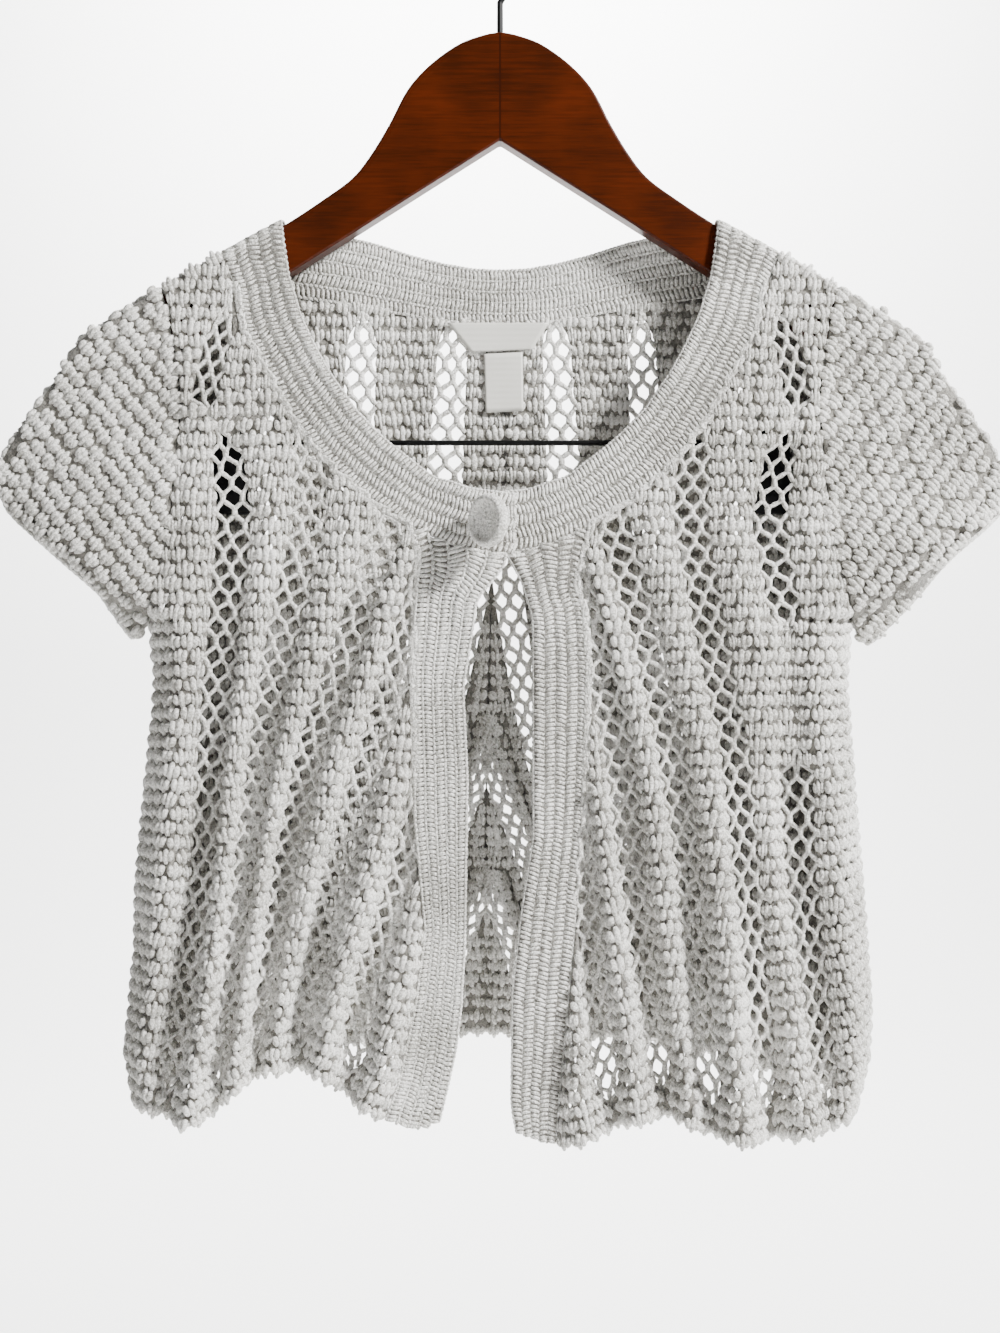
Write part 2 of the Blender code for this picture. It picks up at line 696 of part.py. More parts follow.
def build_band(name, side, lap_start, toward, material, collection):
    """One ribbed band down the front opening."""
    drops = [BAND_CORNER + 2 * SEAM] + [drop for drop in ROWS if drop > BAND_CORNER + 5.0]
    sections = []
    for drop in drops:
        fade = max(0.0, 1.0 - (drop - BAND_CORNER) / BAND_SLANT_RUN)
        outer = read(side.band_outer, drop)
        inner = read(side.band_inner, drop + fade * (neck_end_drop(0.0) - BAND_CORNER))
        calm = 1.0 - smooth((drop - BAND_CORNER - 20.0) / 60.0)
        points = []
        for step in range(2 * RIBS + 1):
            share = step / (2 * RIBS)
            out = outer + (inner - outer) * share
            low = drop + fade * (neck_end_drop(out) - BAND_CORNER)
            y = cloth_y(side.sign * out, low) + calm * lap_y(out, lap_start, toward)
            points.append(place(side.sign * out, y, pulled(low, side.hem, abs(out))))
        sections.append(points)
    new_object(name, strip_mesh(name, sections), material, collection)


def build_tag(name, left, right, top, bottom, material, collection):
    """A flat woven label on the inside of the back."""
    across = 4
    down = 2
    points = []
    faces = []
    for row in range(down + 1):
        drop = top + (bottom - top) * row / down
        for step in range(across + 1):
            x = left + (right - left) * step / across
            y = cloth_y(x, drop, 0.0, 1) - LABEL_STAND
            points.append(place(x, y, drop))
    for row in range(down):
        for step in range(across):
            corner = row * (across + 1) + step
            faces.append([corner, corner + 1, corner + across + 2, corner + across + 1])
    obj = new_object(name, new_mesh(name, points, faces), material, collection)
    thicken(obj, LABEL_THICKNESS)


def build_button(material, collection):
    """Covered button on a shank, turned to the viewer's left as it hangs in its loop."""
    mesh = bpy.data.meshes.new("button")
    points = [Vector((point.radius, 0, point.height)) * 0.001 for point in BUTTON]
    mesh.from_pydata(points, [(step, step + 1) for step in range(len(points) - 1)], [])
    obj = new_object("button", mesh, material, collection)
    turn = obj.modifiers.new("turn", "SCREW")
    turn.steps = 16
    turn.render_steps = 16
    turn.use_merge_vertices = True
    turn.merge_threshold = 0.00005
    angle = math.radians(BUTTON_TURN)
    axis = Vector((-math.sin(angle), -math.cos(angle), 0.0))
    band_y = cloth_y(BUTTON_X, BUTTON_DROP) - LAP - BAND_WALL / 2 - RIB_HEIGHT
    shank_tip_y = band_y - SEAM - BUTTON[-2].radius * math.sin(angle)
    shank_tip = place(BUTTON_X - axis.x * BUTTON_SHANK, shank_tip_y, BUTTON_DROP)
    obj.location = shank_tip + axis * BUTTON_SHANK * 0.001
    obj.rotation_euler = axis.to_track_quat("Z", "Y").to_euler()


def add_socket(wood, cutter_collection, name, x, drop, radius):
    """Drill a blind hole for the hook's stem or a leg of the bar."""
    mesh = bpy.data.meshes.new(name)
    work = bmesh.new()
    bmesh.ops.create_cone(work, cap_ends=True, segments=12, radius1=radius * 0.001,
                          radius2=radius * 0.001, depth=2 * SOCKET_DEPTH * 0.001 + 0.001)
    work.to_mesh(mesh)
    work.free()
    cutter = new_object(name, mesh, None, cutter_collection)
    cutter.location = place(x, 0.0, drop)
    cutter.hide_render = True
    cutter.display_type = "WIRE"
    drill = wood.modifiers.new(name, "BOOLEAN")
    drill.operation = "DIFFERENCE"
    drill.object = cutter


def wood_lower_drop(out):
    """Drop of the arm's lower edge."""
    inner, tip = WOOD[-1], WOOD[-2]
    return inner.drop + (tip.drop - inner.drop) * out / tip.out


def build_wood(material, collection, cutters):
    """The hanger's body, sawn from flat board with eased edges."""
    half = [(point.out, point.drop) for point in WOOD]
    outline = half + [(-out, drop) for out, drop in half[-2:0:-1]]
    mesh = bpy.data.meshes.new("hanger_wood")
    work = bmesh.new()
    points = [work.verts.new(place(out, -WOOD_THICKNESS / 2, drop)) for out, drop in outline]
    board = work.faces.new(points)
    grown = bmesh.ops.extrude_face_region(work, geom=[board])
    moved = [item for item in grown["geom"] if isinstance(item, bmesh.types.BMVert)]
    bmesh.ops.translate(work, verts=moved, vec=(0, WOOD_THICKNESS * 0.001, 0))
    bmesh.ops.recalc_face_normals(work, faces=work.faces)
    work.to_mesh(mesh)
    work.free()
    wood = new_object("hanger_wood", mesh, material, collection)
    ease = wood.modifiers.new("ease", "BEVEL")
    ease.width = WOOD_BEVEL * 0.001
    ease.segments = 1
    ease.limit_method = "ANGLE"
    ease.angle_limit = math.radians(70)
    add_socket(wood, cutters, "hook_socket", 0.0, 0.0, HOOK_WIRE / 2 + SOCKET_CLEARANCE)
    for name, sign in (("bar_socket_right", -1), ("bar_socket_left", 1)):
        add_socket(wood, cutters, name, sign * BAR_HALF_SPAN, wood_lower_drop(BAR_HALF_SPAN),
                   BAR_WIRE / 2 + SOCKET_CLEARANCE)


def build_wire(name, path, diameter, material, collection):
    """A bent wire with closed ends."""
    curve = bpy.data.curves.new(name, "CURVE")
    curve.dimensions = "3D"
    curve.bevel_depth = diameter / 2 * 0.001
    curve.bevel_resolution = 2
    curve.use_fill_caps = True
    spline = curve.splines.new("POLY")
    spline.points.add(len(path) - 1)
    for point, (x, drop) in zip(spline.points, path):
        point.co = (*place(x, 0.0, drop), 1.0)
    new_object(name, curve, material, collection)


def build_hook(material, collection):
    """The hook's stem, its bend to one side and its round crook."""
    radius = HOOK_INNER_RADIUS + HOOK_WIRE / 2
    middle_drop = HOOK_INNER_RADIUS - HOOK_RISE
    entry = math.radians(HOOK_ENTRY_ANGLE)
    entry_x = radius * math.cos(entry)
    entry_drop = middle_drop - radius * math.sin(entry)
    path = [(0.0, SOCKET_DEPTH), (0.0, HOOK_BEND_DROP)]
    for share in (0.35, 0.65, 0.85):
        swing = smooth(share) * entry_x
        path.append((swing, HOOK_BEND_DROP + (entry_drop - HOOK_BEND_DROP) * share))
    for angle in range(HOOK_ENTRY_ANGLE, HOOK_TIP_ANGLE + 1, 17):
        turn = math.radians(angle)
        path.append((radius * math.cos(turn), middle_drop - radius * math.sin(turn)))
    build_wire("hook", path, HOOK_WIRE, material, collection)


def build_bar(material, collection):
    """The bar under the arms, its ends bent up into the wood."""
    top = wood_lower_drop(BAR_HALF_SPAN) - SOCKET_DEPTH
    right = [(-BAR_HALF_SPAN, top)]
    for angle in range(0, 91, 30):
        turn = math.radians(angle)
        right.append((-BAR_HALF_SPAN + BAR_CORNER * (1 - math.cos(turn)),
                      BAR_DROP - BAR_CORNER * (1 - math.sin(turn))))
    left = [(-x, drop) for x, drop in reversed(right)]
    build_wire("hanger_bar", right + left, BAR_WIRE, material, collection)


def build_clip(name, x, material, collection):
    """A sprung clip that hangs over the bar."""
    half = [(point.y, BAR_DROP + point.drop) for point in CLIP]
    outline = half + [(-y, drop) for y, drop in reversed(half)]
    mesh = bpy.data.meshes.new(name)
    work = bmesh.new()
    points = [work.verts.new(place(x - CLIP_WIDTH / 2, y, drop)) for y, drop in outline]
    profile = work.faces.new(points)
    grown = bmesh.ops.extrude_face_region(work, geom=[profile])
    moved = [item for item in grown["geom"] if isinstance(item, bmesh.types.BMVert)]
    bmesh.ops.translate(work, verts=moved, vec=(CLIP_WIDTH * 0.001, 0, 0))
    bmesh.ops.recalc_face_normals(work, faces=work.faces)
    work.to_mesh(mesh)
    work.free()
    new_object(name, mesh, material, collection)


def main():
    for obj in list(bpy.data.objects):
        bpy.data.objects.remove(obj)
    part = bpy.data.collections.new("crochet_cardigan")
    cutters = bpy.data.collections.new("cutters")
    bpy.context.scene.collection.children.link(part)
    bpy.context.scene.collection.children.link(cutters)

    cotton = new_material("cotton_crochet", (0.72, 0.71, 0.68), 0.9)
    satin = new_material("satin_label", (0.78, 0.77, 0.74), 0.5)
    wood = new_material("varnished_wood", (0.13, 0.03, 0.012), 0.35)
    black_wire = new_material("black_wire", (0.02, 0.02, 0.02), 0.4, 0.8)
    black_plastic = new_material("black_plastic", (0.02, 0.02, 0.02), 0.5)

    gaps = build_front("right_front", RIGHT, cotton, part)
    gaps += build_front("left_front", LEFT, cotton, part)
    gaps += build_back(cotton, part)
    print("gaps cut through:", gaps)
    build_sleeve("right_sleeve", RIGHT, cotton, part)
    build_sleeve("left_sleeve", LEFT, cotton, part)
    build_neckband(cotton, part)
    build_band("right_band", RIGHT, LAP_START_UPPER, -1, cotton, part)
    build_band("left_band", LEFT, LAP_START_UNDER, 1, cotton, part)
    build_button(cotton, part)
    build_tag("neck_label", -30.0, 28.0, 154.5, 171.0, satin, part)
    build_tag("size_tag", -9.5, 13.5, 171.8, 205.0, satin, part)
    build_wood(wood, part, cutters)
    build_hook(black_wire, part)
    build_bar(black_wire, part)
    build_clip("right_clip", -CLIP_OUT, black_plastic, part)
    build_clip("left_clip", CLIP_OUT, black_plastic, part)


main()
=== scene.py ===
"""Looks of a crochet cardigan on its wooden hanger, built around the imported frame.

Left and right are the wearer's. Tables are in millimetres, as in the part's source: "out" is the
distance from the middle line, and "drop" is the distance below the top of the wooden hanger.
"""
import math
from collections import namedtuple

import bmesh
import bpy
import numpy as np
from mathutils import Matrix, Vector


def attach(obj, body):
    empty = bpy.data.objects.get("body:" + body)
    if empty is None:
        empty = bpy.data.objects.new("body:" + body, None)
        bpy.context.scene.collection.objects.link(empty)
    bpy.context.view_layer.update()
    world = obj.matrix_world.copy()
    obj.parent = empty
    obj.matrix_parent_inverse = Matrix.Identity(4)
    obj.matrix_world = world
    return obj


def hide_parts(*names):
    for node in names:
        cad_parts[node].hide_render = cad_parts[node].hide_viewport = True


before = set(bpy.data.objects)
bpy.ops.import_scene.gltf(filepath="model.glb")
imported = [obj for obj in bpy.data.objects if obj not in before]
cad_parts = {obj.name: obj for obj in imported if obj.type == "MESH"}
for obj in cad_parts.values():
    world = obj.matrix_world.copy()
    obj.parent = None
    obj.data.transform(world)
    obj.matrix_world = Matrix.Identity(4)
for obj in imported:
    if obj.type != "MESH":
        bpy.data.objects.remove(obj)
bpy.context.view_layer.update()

# Driving sizes of the hanger, in millimetres
HOOK_RISE = 70.0
WOOD_THICKNESS = 13.0
WOOD_BEVEL = 3.0

# Driving sizes of the cloth; a row is one repeat of the lace
BAND_WALL = 2.8
RIBS = 5
RIB_HEIGHT = 0.9
SEAM = 0.6
EDGE_GAP = 1.5 * SEAM
ROW = 15.5
HALF_ROW = ROW / 2
FIRST_ROW = 138.5
ROW_COUNT = 30
ROWS = [FIRST_ROW + ROW * step for step in range(ROW_COUNT)]
UNDERARM = ROWS[12]
LAST_ROW = ROWS[-1]
HEM_PULL_START = 330.0
HEM_SOFTNESS = 7.0
FOLD_OVER = 3.0
SHOULDER_ROWS = (0.0, 0.25, 0.9, 1.8, FOLD_OVER)
SIDE_ROUND = 30.0
SIDE_OPENING = 1.5
SIDE_CALM = 24.0
FOLD_RUN = 150.0
SLEEVE_STEPS = 6
SLEEVE_HALF_GAP = 4.5
SLEEVE_TIP_START = 236.0
SLEEVE_TIP_RUN = 38.0
SLEEVE_TIP_THINNER = 0.3
LAP = 2.5
LAP_RUN = 16.0
NECK_BACK_START = 143.0
NECK_BACK_END = 4.0
NECK_BACK_STEP = 9.0

# Button and labels
BUTTON_X = -5.8
BUTTON_DROP = 269.0
BUTTON_TURN = 48
BUTTON_SHANK = 12.6
LABEL_STAND = 2.7
LABEL_WALL = 0.4
LABEL_BOW = 0.5
LABEL_ACROSS = 16
LABEL_DOWN = 12

Point = namedtuple("Point", "out drop")
Columns = namedtuple("Columns", "drop lace_1 lace_2 lace_3 lace_4 lace_5")
BackColumns = namedtuple("BackColumns", "drop lace_1 lace_2 lace_3 lace_4 lace_5 lace_6")
Width = namedtuple("Width", "drop out")
Section = namedtuple("Section", "outer_out outer_drop inner_out inner_drop")
Fold = namedtuple("Fold", "x_top x_hem width depth start")
Depth = namedtuple("Depth", "below front back")
Side = namedtuple("Side", "sign columns closed band_outer band_inner hem side sleeve_hem")
Ring = namedtuple("Ring", "radius height")
Span = namedtuple("Span", "kind number start end")
Label = namedtuple("Label", "node corners curl flat")
Light = namedtuple("Light", "name place aim size power")

# The shoulder line, which goes on as the top of the sleeve
SHOULDER = [
    Point(119, 102), Point(152, 120), Point(183, 138), Point(208, 153), Point(229, 167.5),
    Point(241, 188), Point(256, 208), Point(268, 226), Point(274, 240),
]
NECK_SLOPE = 0.55

ARMHOLE = [
    Width(138, 183), Width(154, 179), Width(203, 171.5), Width(267, 176.5), Width(UNDERARM, 190),
]
SIDE_RIGHT = [
    Width(UNDERARM, 190), Width(355, 187), Width(398, 191), Width(464, 197), Width(506, 198),
    Width(540, 201), Width(564, 203), Width(588, 199),
]
SIDE_LEFT = [
    Width(UNDERARM, 190), Width(355, 188), Width(398, 191), Width(464, 196), Width(506, 199),
    Width(540, 201), Width(564, 200), Width(588, 194),
]

# How far the cloth stands from the hanger's plane, by the distance below the shoulder line
DEPTHS = [
    Depth(0, 8.9, 8.9), Depth(30, 9.8, 9.4), Depth(120, 19, 15), Depth(250, 25, 20),
    Depth(420, 30, 26),
]
# Half the height of the wave that the lace columns make, and its share at each place across it
WAVE = [Width(120, 0), Width(200, 1), Width(270, 1.8), Width(395, 4), Width(523, 7), Width(588, 8)]
CREST = -1.0
BAND_CREST = -0.7
LACE_RIM = 0.4
LACE_MIDDLE = 0.9
BACK_MIDDLE_CREST = -0.4
BACK_MIDDLE_RUN = 40.0
BAND_WEDGE_START = 4.0
BAND_WEDGE_RUN = 10.0

# Middle lines of the lace columns; each starts where it comes out from under the band
COLUMNS_RIGHT = [
    Columns(145, 146, 95, 30, 10, -10), Columns(175, 154, 100, 35, 15, -5),
    Columns(203, 160, 104, 40, 20, 0), Columns(226, 147, 103, 46, 24, 4),
    Columns(267, 142, 101, 58, 30, 10), Columns(331, 148, 117, 80, 50, 22),
    Columns(395, 154, 127, 102, 69, 37), Columns(459, 158, 135, 114, 86, 52),
    Columns(523, 168, 141, 122, 98, 71), Columns(588, 180, 150, 132, 109, 82),
]
COLUMNS_LEFT = [
    Columns(145, 148, 95, 30, 10, -10), Columns(175, 156, 100, 35, 15, -5),
    Columns(203, 161, 105, 40, 20, 0), Columns(226, 152, 104, 47, 24, 4),
    Columns(267, 144, 102, 60, 30, 10), Columns(331, 155, 113, 78, 50, 22),
    Columns(395, 159, 126, 92, 64, 37), Columns(459, 162, 132, 101, 70, 46),
    Columns(523, 169, 138, 107, 79, 52), Columns(588, 175, 142, 113, 88, 60),
]
COLUMNS_BACK = [
    BackColumns(155, 126, 77, 28, -40, -60, -90), BackColumns(250, 128, 82, 34, -12, -30, -60),
    BackColumns(290, 130, 86, 40, 7, -20, -50), BackColumns(400, 143, 102, 61, 26, -3, -30),
    BackColumns(442, 149, 110, 70, 35, 12, -16), BackColumns(480, 155, 117, 79, 46, 22, -6),
    BackColumns(530, 163, 127, 91, 59, 35, 12), BackColumns(588, 173, 139, 105, 75, 49, 26),
]
# How far the back's middle hangs to one side, fading out towards the side seams
BACK_MIDDLE = [Width(250, 3), Width(290, -4.5), Width(400, -7.5), Width(588, -8)]
BACK_MIDDLE_REACH = 120.0
LACE_HALF_WIDTH = [
    Width(138, 6.5), Width(203, 7.5), Width(270, 9.5), Width(395, 8), Width(523, 6.5), Width(588, 6.5),
]

HEM_RIGHT = [
    Point(24, 578), Point(30, 583), Point(37, 591), Point(50, 588), Point(70, 579), Point(85, 568),
    Point(95, 559), Point(129, 559), Point(146, 574), Point(163, 588), Point(183, 581), Point(203, 578),
]
HEM_LEFT = [
    Point(10, 590), Point(17, 596), Point(29, 598), Point(46, 595), Point(60, 588), Point(71, 584),
    Point(90, 582), Point(118, 594), Point(151, 595), Point(182, 588), Point(200, 578),
]
HEM_BACK = [Point(0, 549), Point(60, 552), Point(120, 560), Point(170, 575), Point(200, 581)]

# Big soft folds; depth is towards the inside of the garment
FRONT_FOLDS = [
    Fold(-100, -112, 20, 9, 360), Fold(-128, -163, 13, -4, 400), Fold(-60, -58, 14, -4, 420),
    Fold(146, 152, 9, 9, 280), Fold(96, 90, 14, 5, 400), Fold(120, 122, 10, -4, 420),
    Fold(-162, -172, 7, 4, 330),
]
BACK_FOLDS = [
    Fold(-148, -150, 13, 7, 300), Fold(-98, -102, 15, 6, 360), Fold(-6, -2, 12, 7, 330),
    Fold(52, 50, 14, 6, 380), Fold(104, 108, 12, 8, 310), Fold(150, 156, 10, 6, 400),
]

# The neckband from the shoulder line to the middle, on the front and on the back
NECK_FRONT = [
    Section(151, 120, 119, 102), Section(143, 140, 115, 133), Section(139, 164, 108, 156),
    Section(128, 183, 100, 173), Section(113, 210, 91, 189), Section(96, 233, 77, 209),
    Section(77, 251, 61, 225), Section(49, 270, 36, 244), Section(23, 281, 15, 251),
]
NECK_BACK = [
    Section(151, 120, 119, 102), Section(139, 132, 108, 105), Section(118, 140, 97, 107.5),
    Section(97, 143, 84, 109), Section(76, 146, 68, 112.5), Section(56, 149.5, 51, 118),
    Section(36, 153, 33, 122.5), Section(16, 155, 15, 125.5), Section(0, 155.5, 0, 126),
]
NECK_END_UPPER = Section(-7, 286.5, -8, 254)
NECK_END_UNDER = Section(-17, 287, -17, 254)
LAP_START_UPPER = 35.0
LAP_START_UNDER = 26.0
BAND_CORNER = NECK_FRONT[7].outer_drop
NECK_END_OUT = NECK_FRONT[0].outer_out + SEAM

# The front bands' edges; an inner edge past the middle line is negative
BAND_RIGHT_OUTER = [
    Width(270, 49), Width(289, 43.5), Width(348, 47), Width(427, 45), Width(486, 39.5), Width(525, 45),
    Width(565, 53), Width(588, 60),
]
BAND_RIGHT_INNER = [
    Width(289, -3), Width(299, 3), Width(310, 12.5), Width(358, 20), Width(407, 17.6), Width(501, 19),
    Width(535, 21), Width(558, 24), Width(588, 32),
]
BAND_LEFT_OUTER = [
    Width(270, 49), Width(300, 41), Width(318, 46), Width(349, 47.5), Width(409, 45.5), Width(489, 38.5),
    Width(570, 30.5), Width(588, 29),
]
BAND_LEFT_INNER = [
    Width(286, 4), Width(302, 12.3), Width(320, 18), Width(433, 18.2), Width(474, 11.7), Width(515, 7),
    Width(576, 6.4), Width(588, 9),
]
BAND_SLANT_RUN = 50.0

SLEEVE_HEM_RIGHT = [
    Point(274, 240), Point(266, 262), Point(252, 274), Point(236, 288), Point(219, 303),
    Point(207, 320), Point(200, 330),
]
SLEEVE_HEM_LEFT = [
    Point(274, 240), Point(273, 262), Point(243, 287), Point(225, 309), Point(211, 323),
    Point(204, 330), Point(200, 333),
]

# Each side's tables; "closed" gives the drops between which its first lace column is shut
RIGHT = Side(-1, COLUMNS_RIGHT, [(201, 228)], BAND_RIGHT_OUTER, BAND_RIGHT_INNER, HEM_RIGHT,
             SIDE_RIGHT, SLEEVE_HEM_RIGHT)
LEFT = Side(1, COLUMNS_LEFT, [(203, 228), (318, 400)], BAND_LEFT_OUTER, BAND_LEFT_INNER, HEM_LEFT,
            SIDE_LEFT, SLEEVE_HEM_LEFT)

# The wooden body's outline, from the top of its crown round one arm's end to the inner corner
WOOD = [
    Point(0, 0), Point(14, 3), Point(25, 8), Point(39, 18.5), Point(50.5, 31.5), Point(60.5, 50.5),
    Point(70.5, 67), Point(80.5, 79.5), Point(96, 91), Point(119, 106), Point(152, 124.5),
    Point(183, 142.5), Point(208, 157.5), Point(222, 166.5), Point(228, 173), Point(229.5, 181),
    Point(226, 190), Point(217, 196), Point(0, 59),
]

# The button's outline, from the middle of its face round its rim to the shank
BUTTON_PROFILE = [
    Ring(0.0, 1.4), Ring(3.0, 1.4), Ring(6.0, 1.5), Ring(8.6, 1.7), Ring(9.8, 2.4), Ring(11.0, 3.7),
    Ring(12.3, 3.6), Ring(13.4, 2.6), Ring(14.0, 0.6), Ring(13.7, -1.4), Ring(12.6, -2.8),
    Ring(11.0, -3.4), Ring(4.2, -3.9), Ring(2.6, -5.0), Ring(2.6, -BUTTON_SHANK),
]
BUTTON_RINGS = 60
BUTTON_SIDES = 120
RIM_START = 9.2
RIM_UNDERSIDE = -3.6
RIM_STITCHES = 20
RIM_RELIEF = 0.75
ROUND_RELIEF = 0.22
ROUND_WIDTH = 2.1
FACE_RELIEF = 0.18
FACE_STITCHES = 2.4
FACE_LEAST_STITCHES = 4

# Lace columns, in millimetres
LACE_TOP = 146.0
LACE_TOP_RUN = 20.0
HEM_CLOSED = 20.0
HEM_CLOSE_RUN = 9.0
CLOSE_RUN = 10.0
LEAST_LACE = 1.2
NET_UNDER_BAND = 2.5
NET_RADIUS = 1.1
BACK_NET_RADIUS = 1.3
KNOT_GIRTH = 1.3
KNOT_HALF = 1.7
NET_SPREAD = 0.56
NET_EDGE = 1.05
NET_EDGE_LIFT = 0.4
NET_SWAY = 0.13
LACE_NUMBERS = 30

# The back's lace is wider behind the neck, and gathered shut lower down except near the middle
LEFT_NUMBERS = 10
MIDDLE_NUMBER = 20
BACK_LACE_TOP = 1.15
BACK_TOP_END = 300.0
BACK_TOP_RUN = 100.0
BACK_GATHER = 0.65
GATHER_START = 262.0
GATHER_RUN = 40.0
GATHER_OUT = 28.0
GATHER_OUT_RUN = 14.0
MIDDLE_COLUMN = 3
MIDDLE_LACE = 0.78

# Ground, fans and strips, in millimetres
CELLS_ACROSS = 6
GROUND_WALL = 0.8
GROUND_HOLE = 0.3
CLUSTER_WIDTH = 9.6
CLUSTER_HEIGHT = 7.4
PUFF_STEP = 0.9
PUFF_TIP = 0.55
PUFF_SWELL = 1.55
PUFF_FOOT = 0.46
PUFF_SPREAD = 0.23
PUFF_SPREAD_CURVE = 0.7
PUFF_SIDE_LOWER = 0.25
TURN_SPREAD = 0.16
SIZE_SPREAD = 0.12
LEAST_WEDGE = 4.5
ROWS_OVER_FIRST = 2
UNDER_TOP = 2.5
END_FAN = 0.6
END_FAN_SHARE = 0.27
SHOULDER_FAN_SHARE = 0.8
SHOULDER_FAN_LIFT = 0.6
SHOULDER_FAN_HEIGHT = 1.25
SHOULDER_END = 272.0
SLEEVE_ROW = 7.8
SLEEVE_ROW_START = 0.45
SLEEVE_FAN_ROWS = range(-3, 18)
SLEEVE_FAN_COLUMNS = range(-8, 18)
SLEEVE_MARGIN = 2.4
STITCH_WIDTH = 2.35
POST_LEAN = 0.22
RIB_HALF = 3.0
RIB_TURN_SPREAD = 0.1
RIB_SIZE_SPREAD = 0.06
STRIP_WALL = 0.9
STRIP_STEP = 5.0
BAND_CALM_START = 20.0
BAND_CALM_RUN = 60.0
EDGE_RADIUS = 1.25
YARN_STEP = 2.1
YARN_SWELL = 0.28
YARN_SIDES = 5

# The strand of one rib stitch and of one chain link, with its radii
POST_STRANDS = [([(0.0, -2.9, 0.0), (0.0, 0.0, 0.25), (0.0, 2.9, 0.0)], [0.85, 1.3, 0.85])]
LINK_STRANDS = [([(-1.4, 0.0, 0.2), (0.0, 0.15, 0.5), (1.4, 0.0, 0.2)], [0.7, 1.05, 0.7])]
LINK_SIDES = 4

# The labels, both bare: their corners as (x, drop), and their flat size in metres
LABELS = [
    Label("neck_label", [(-29.5, 155.0), (27.5, 154.8), (-16.0, 171.0), (18.0, 169.5)], 0.3, (0.045, 0.016)),
    Label("size_tag", [(-9.0, 172.0), (12.5, 171.0), (-8.0, 204.5), (13.0, 203.5)], 0.6, (0.022, 0.033)),
]

# Camera and studio
IMAGE_WIDTH = 1000
CAMERA_DISTANCE = 0.925
CAMERA_HEIGHT = -0.4155
FOCAL_PIXELS = 1688.6
SENSOR = 36.0
FLOOR_HEIGHT = -1.25
STUDIO_DEPTH = 2.4
STUDIO_HALF_WIDTH = 4.5
STUDIO_FRONT = -3.5
STUDIO_WALL = 4.0
STUDIO_BEND = 0.8
STUDIO_MIDDLE = (0.0, 0.0, -0.42)
STUDIO_BACK = (0.0, STUDIO_DEPTH + STUDIO_BEND, -0.5)
LIGHTS = [
    Light("key", (1.6, -1.0, 0.9), STUDIO_MIDDLE, 0.35, 185.0),
    Light("fill", (-1.1, -1.8, 0.2), STUDIO_MIDDLE, 1.0, 5.0),
    Light("backdrop", (0.0, 1.7, 1.9), STUDIO_BACK, 1.6, 420.0),
]


def values(table, field):
    return [getattr(row, field) for row in table]


def read(table, drop, field="out"):
    """Read one column of a table at a drop, straight between its rows."""
    return np.interp(drop, values(table, "drop"), values(table, field))


def read_outline(table, out):
    """Read the drop of an outline at a distance from the middle line."""
    return np.interp(out, values(table, "out"), values(table, "drop"))


def rounded(distance, radius):
    """Height of a round edge, from 0 at its rim to 1 at its radius."""
    share = np.clip(distance / radius, 0.0, 1.0)
    return np.sqrt(1.0 - (1.0 - share) ** 2)


def smooth(value):
    """Ease from 0 to 1."""
    value = np.clip(value, 0.0, 1.0)
    return value * value * (3.0 - 2.0 * value)


def shoulder_drop(out):
    """Drop of the shoulder line, carried on inside the neck at the hanger's slope."""
    start = SHOULDER[0]
    return np.where(out < start.out, start.drop - NECK_SLOPE * (start.out - out), read_outline(SHOULDER, out))


def edge_out(side, drop):
    """Outer edge of a front or the back: the armhole, then the side seam."""
    return read(ARMHOLE, drop) if drop < UNDERARM else read(side.side, drop)


def side_margin(x, drop):
    """How far a point lies inside the side fold, which opens into the sleeve above the underarm."""
    below = np.maximum(drop, UNDERARM)
    seam = np.where(x > 0, read(SIDE_LEFT, below), read(SIDE_RIGHT, below))
    return seam - np.abs(x) + SIDE_OPENING * np.maximum(UNDERARM - drop, 0.0)


def big_folds(folds, x, drop):
    """Sum of the soft folds at a point, towards the inside."""
    total = 0.0
    for fold in folds:
        run = smooth((drop - fold.start) / FOLD_RUN)
        share = np.clip((drop - fold.start) / (LAST_ROW - fold.start), 0.0, 1.0)
        middle = fold.x_top + (fold.x_hem - fold.x_top) * share
        total = total + fold.depth * run * np.exp(-((x - middle) / fold.width) ** 2)
    return total


def cloth_y(x, drop, wave=0.0, face=-1):
    """Depth of the cloth's middle surface; face is -1 on the front and 1 on the back."""
    below = drop - shoulder_drop(np.abs(x))
    stand = np.interp(below, values(DEPTHS, "below"), values(DEPTHS, "front" if face < 0 else "back"))
    stand = stand * (1.0 - SLEEVE_TIP_THINNER * smooth((np.abs(x) - SLEEVE_TIP_START) / SLEEVE_TIP_RUN))
    margin = side_margin(x, drop)
    stand = stand * rounded(below, FOLD_OVER) * rounded(margin, SIDE_ROUND)
    folds = big_folds(FRONT_FOLDS if face < 0 else BACK_FOLDS, x, drop)
    stand = stand - smooth(margin / SIDE_CALM) * (folds + wave * read(WAVE, drop))
    return face * np.maximum(stand, SEAM)


def pulled(drop, hem, out):
    """Move a row to follow the hem, more the nearer it is."""
    share = smooth((drop - HEM_PULL_START) / (LAST_ROW - HEM_PULL_START))
    low = sum(read_outline(hem, out + shift) for shift in (-HEM_SOFTNESS, 0.0, HEM_SOFTNESS)) / 3
    return drop + (low - LAST_ROW) * share


def place(x, y, drop):
    """Points in metres from sizes in millimetres."""
    return np.stack(np.broadcast_arrays(x, y, -(HOOK_RISE + np.asarray(drop))), axis=-1) * 0.001


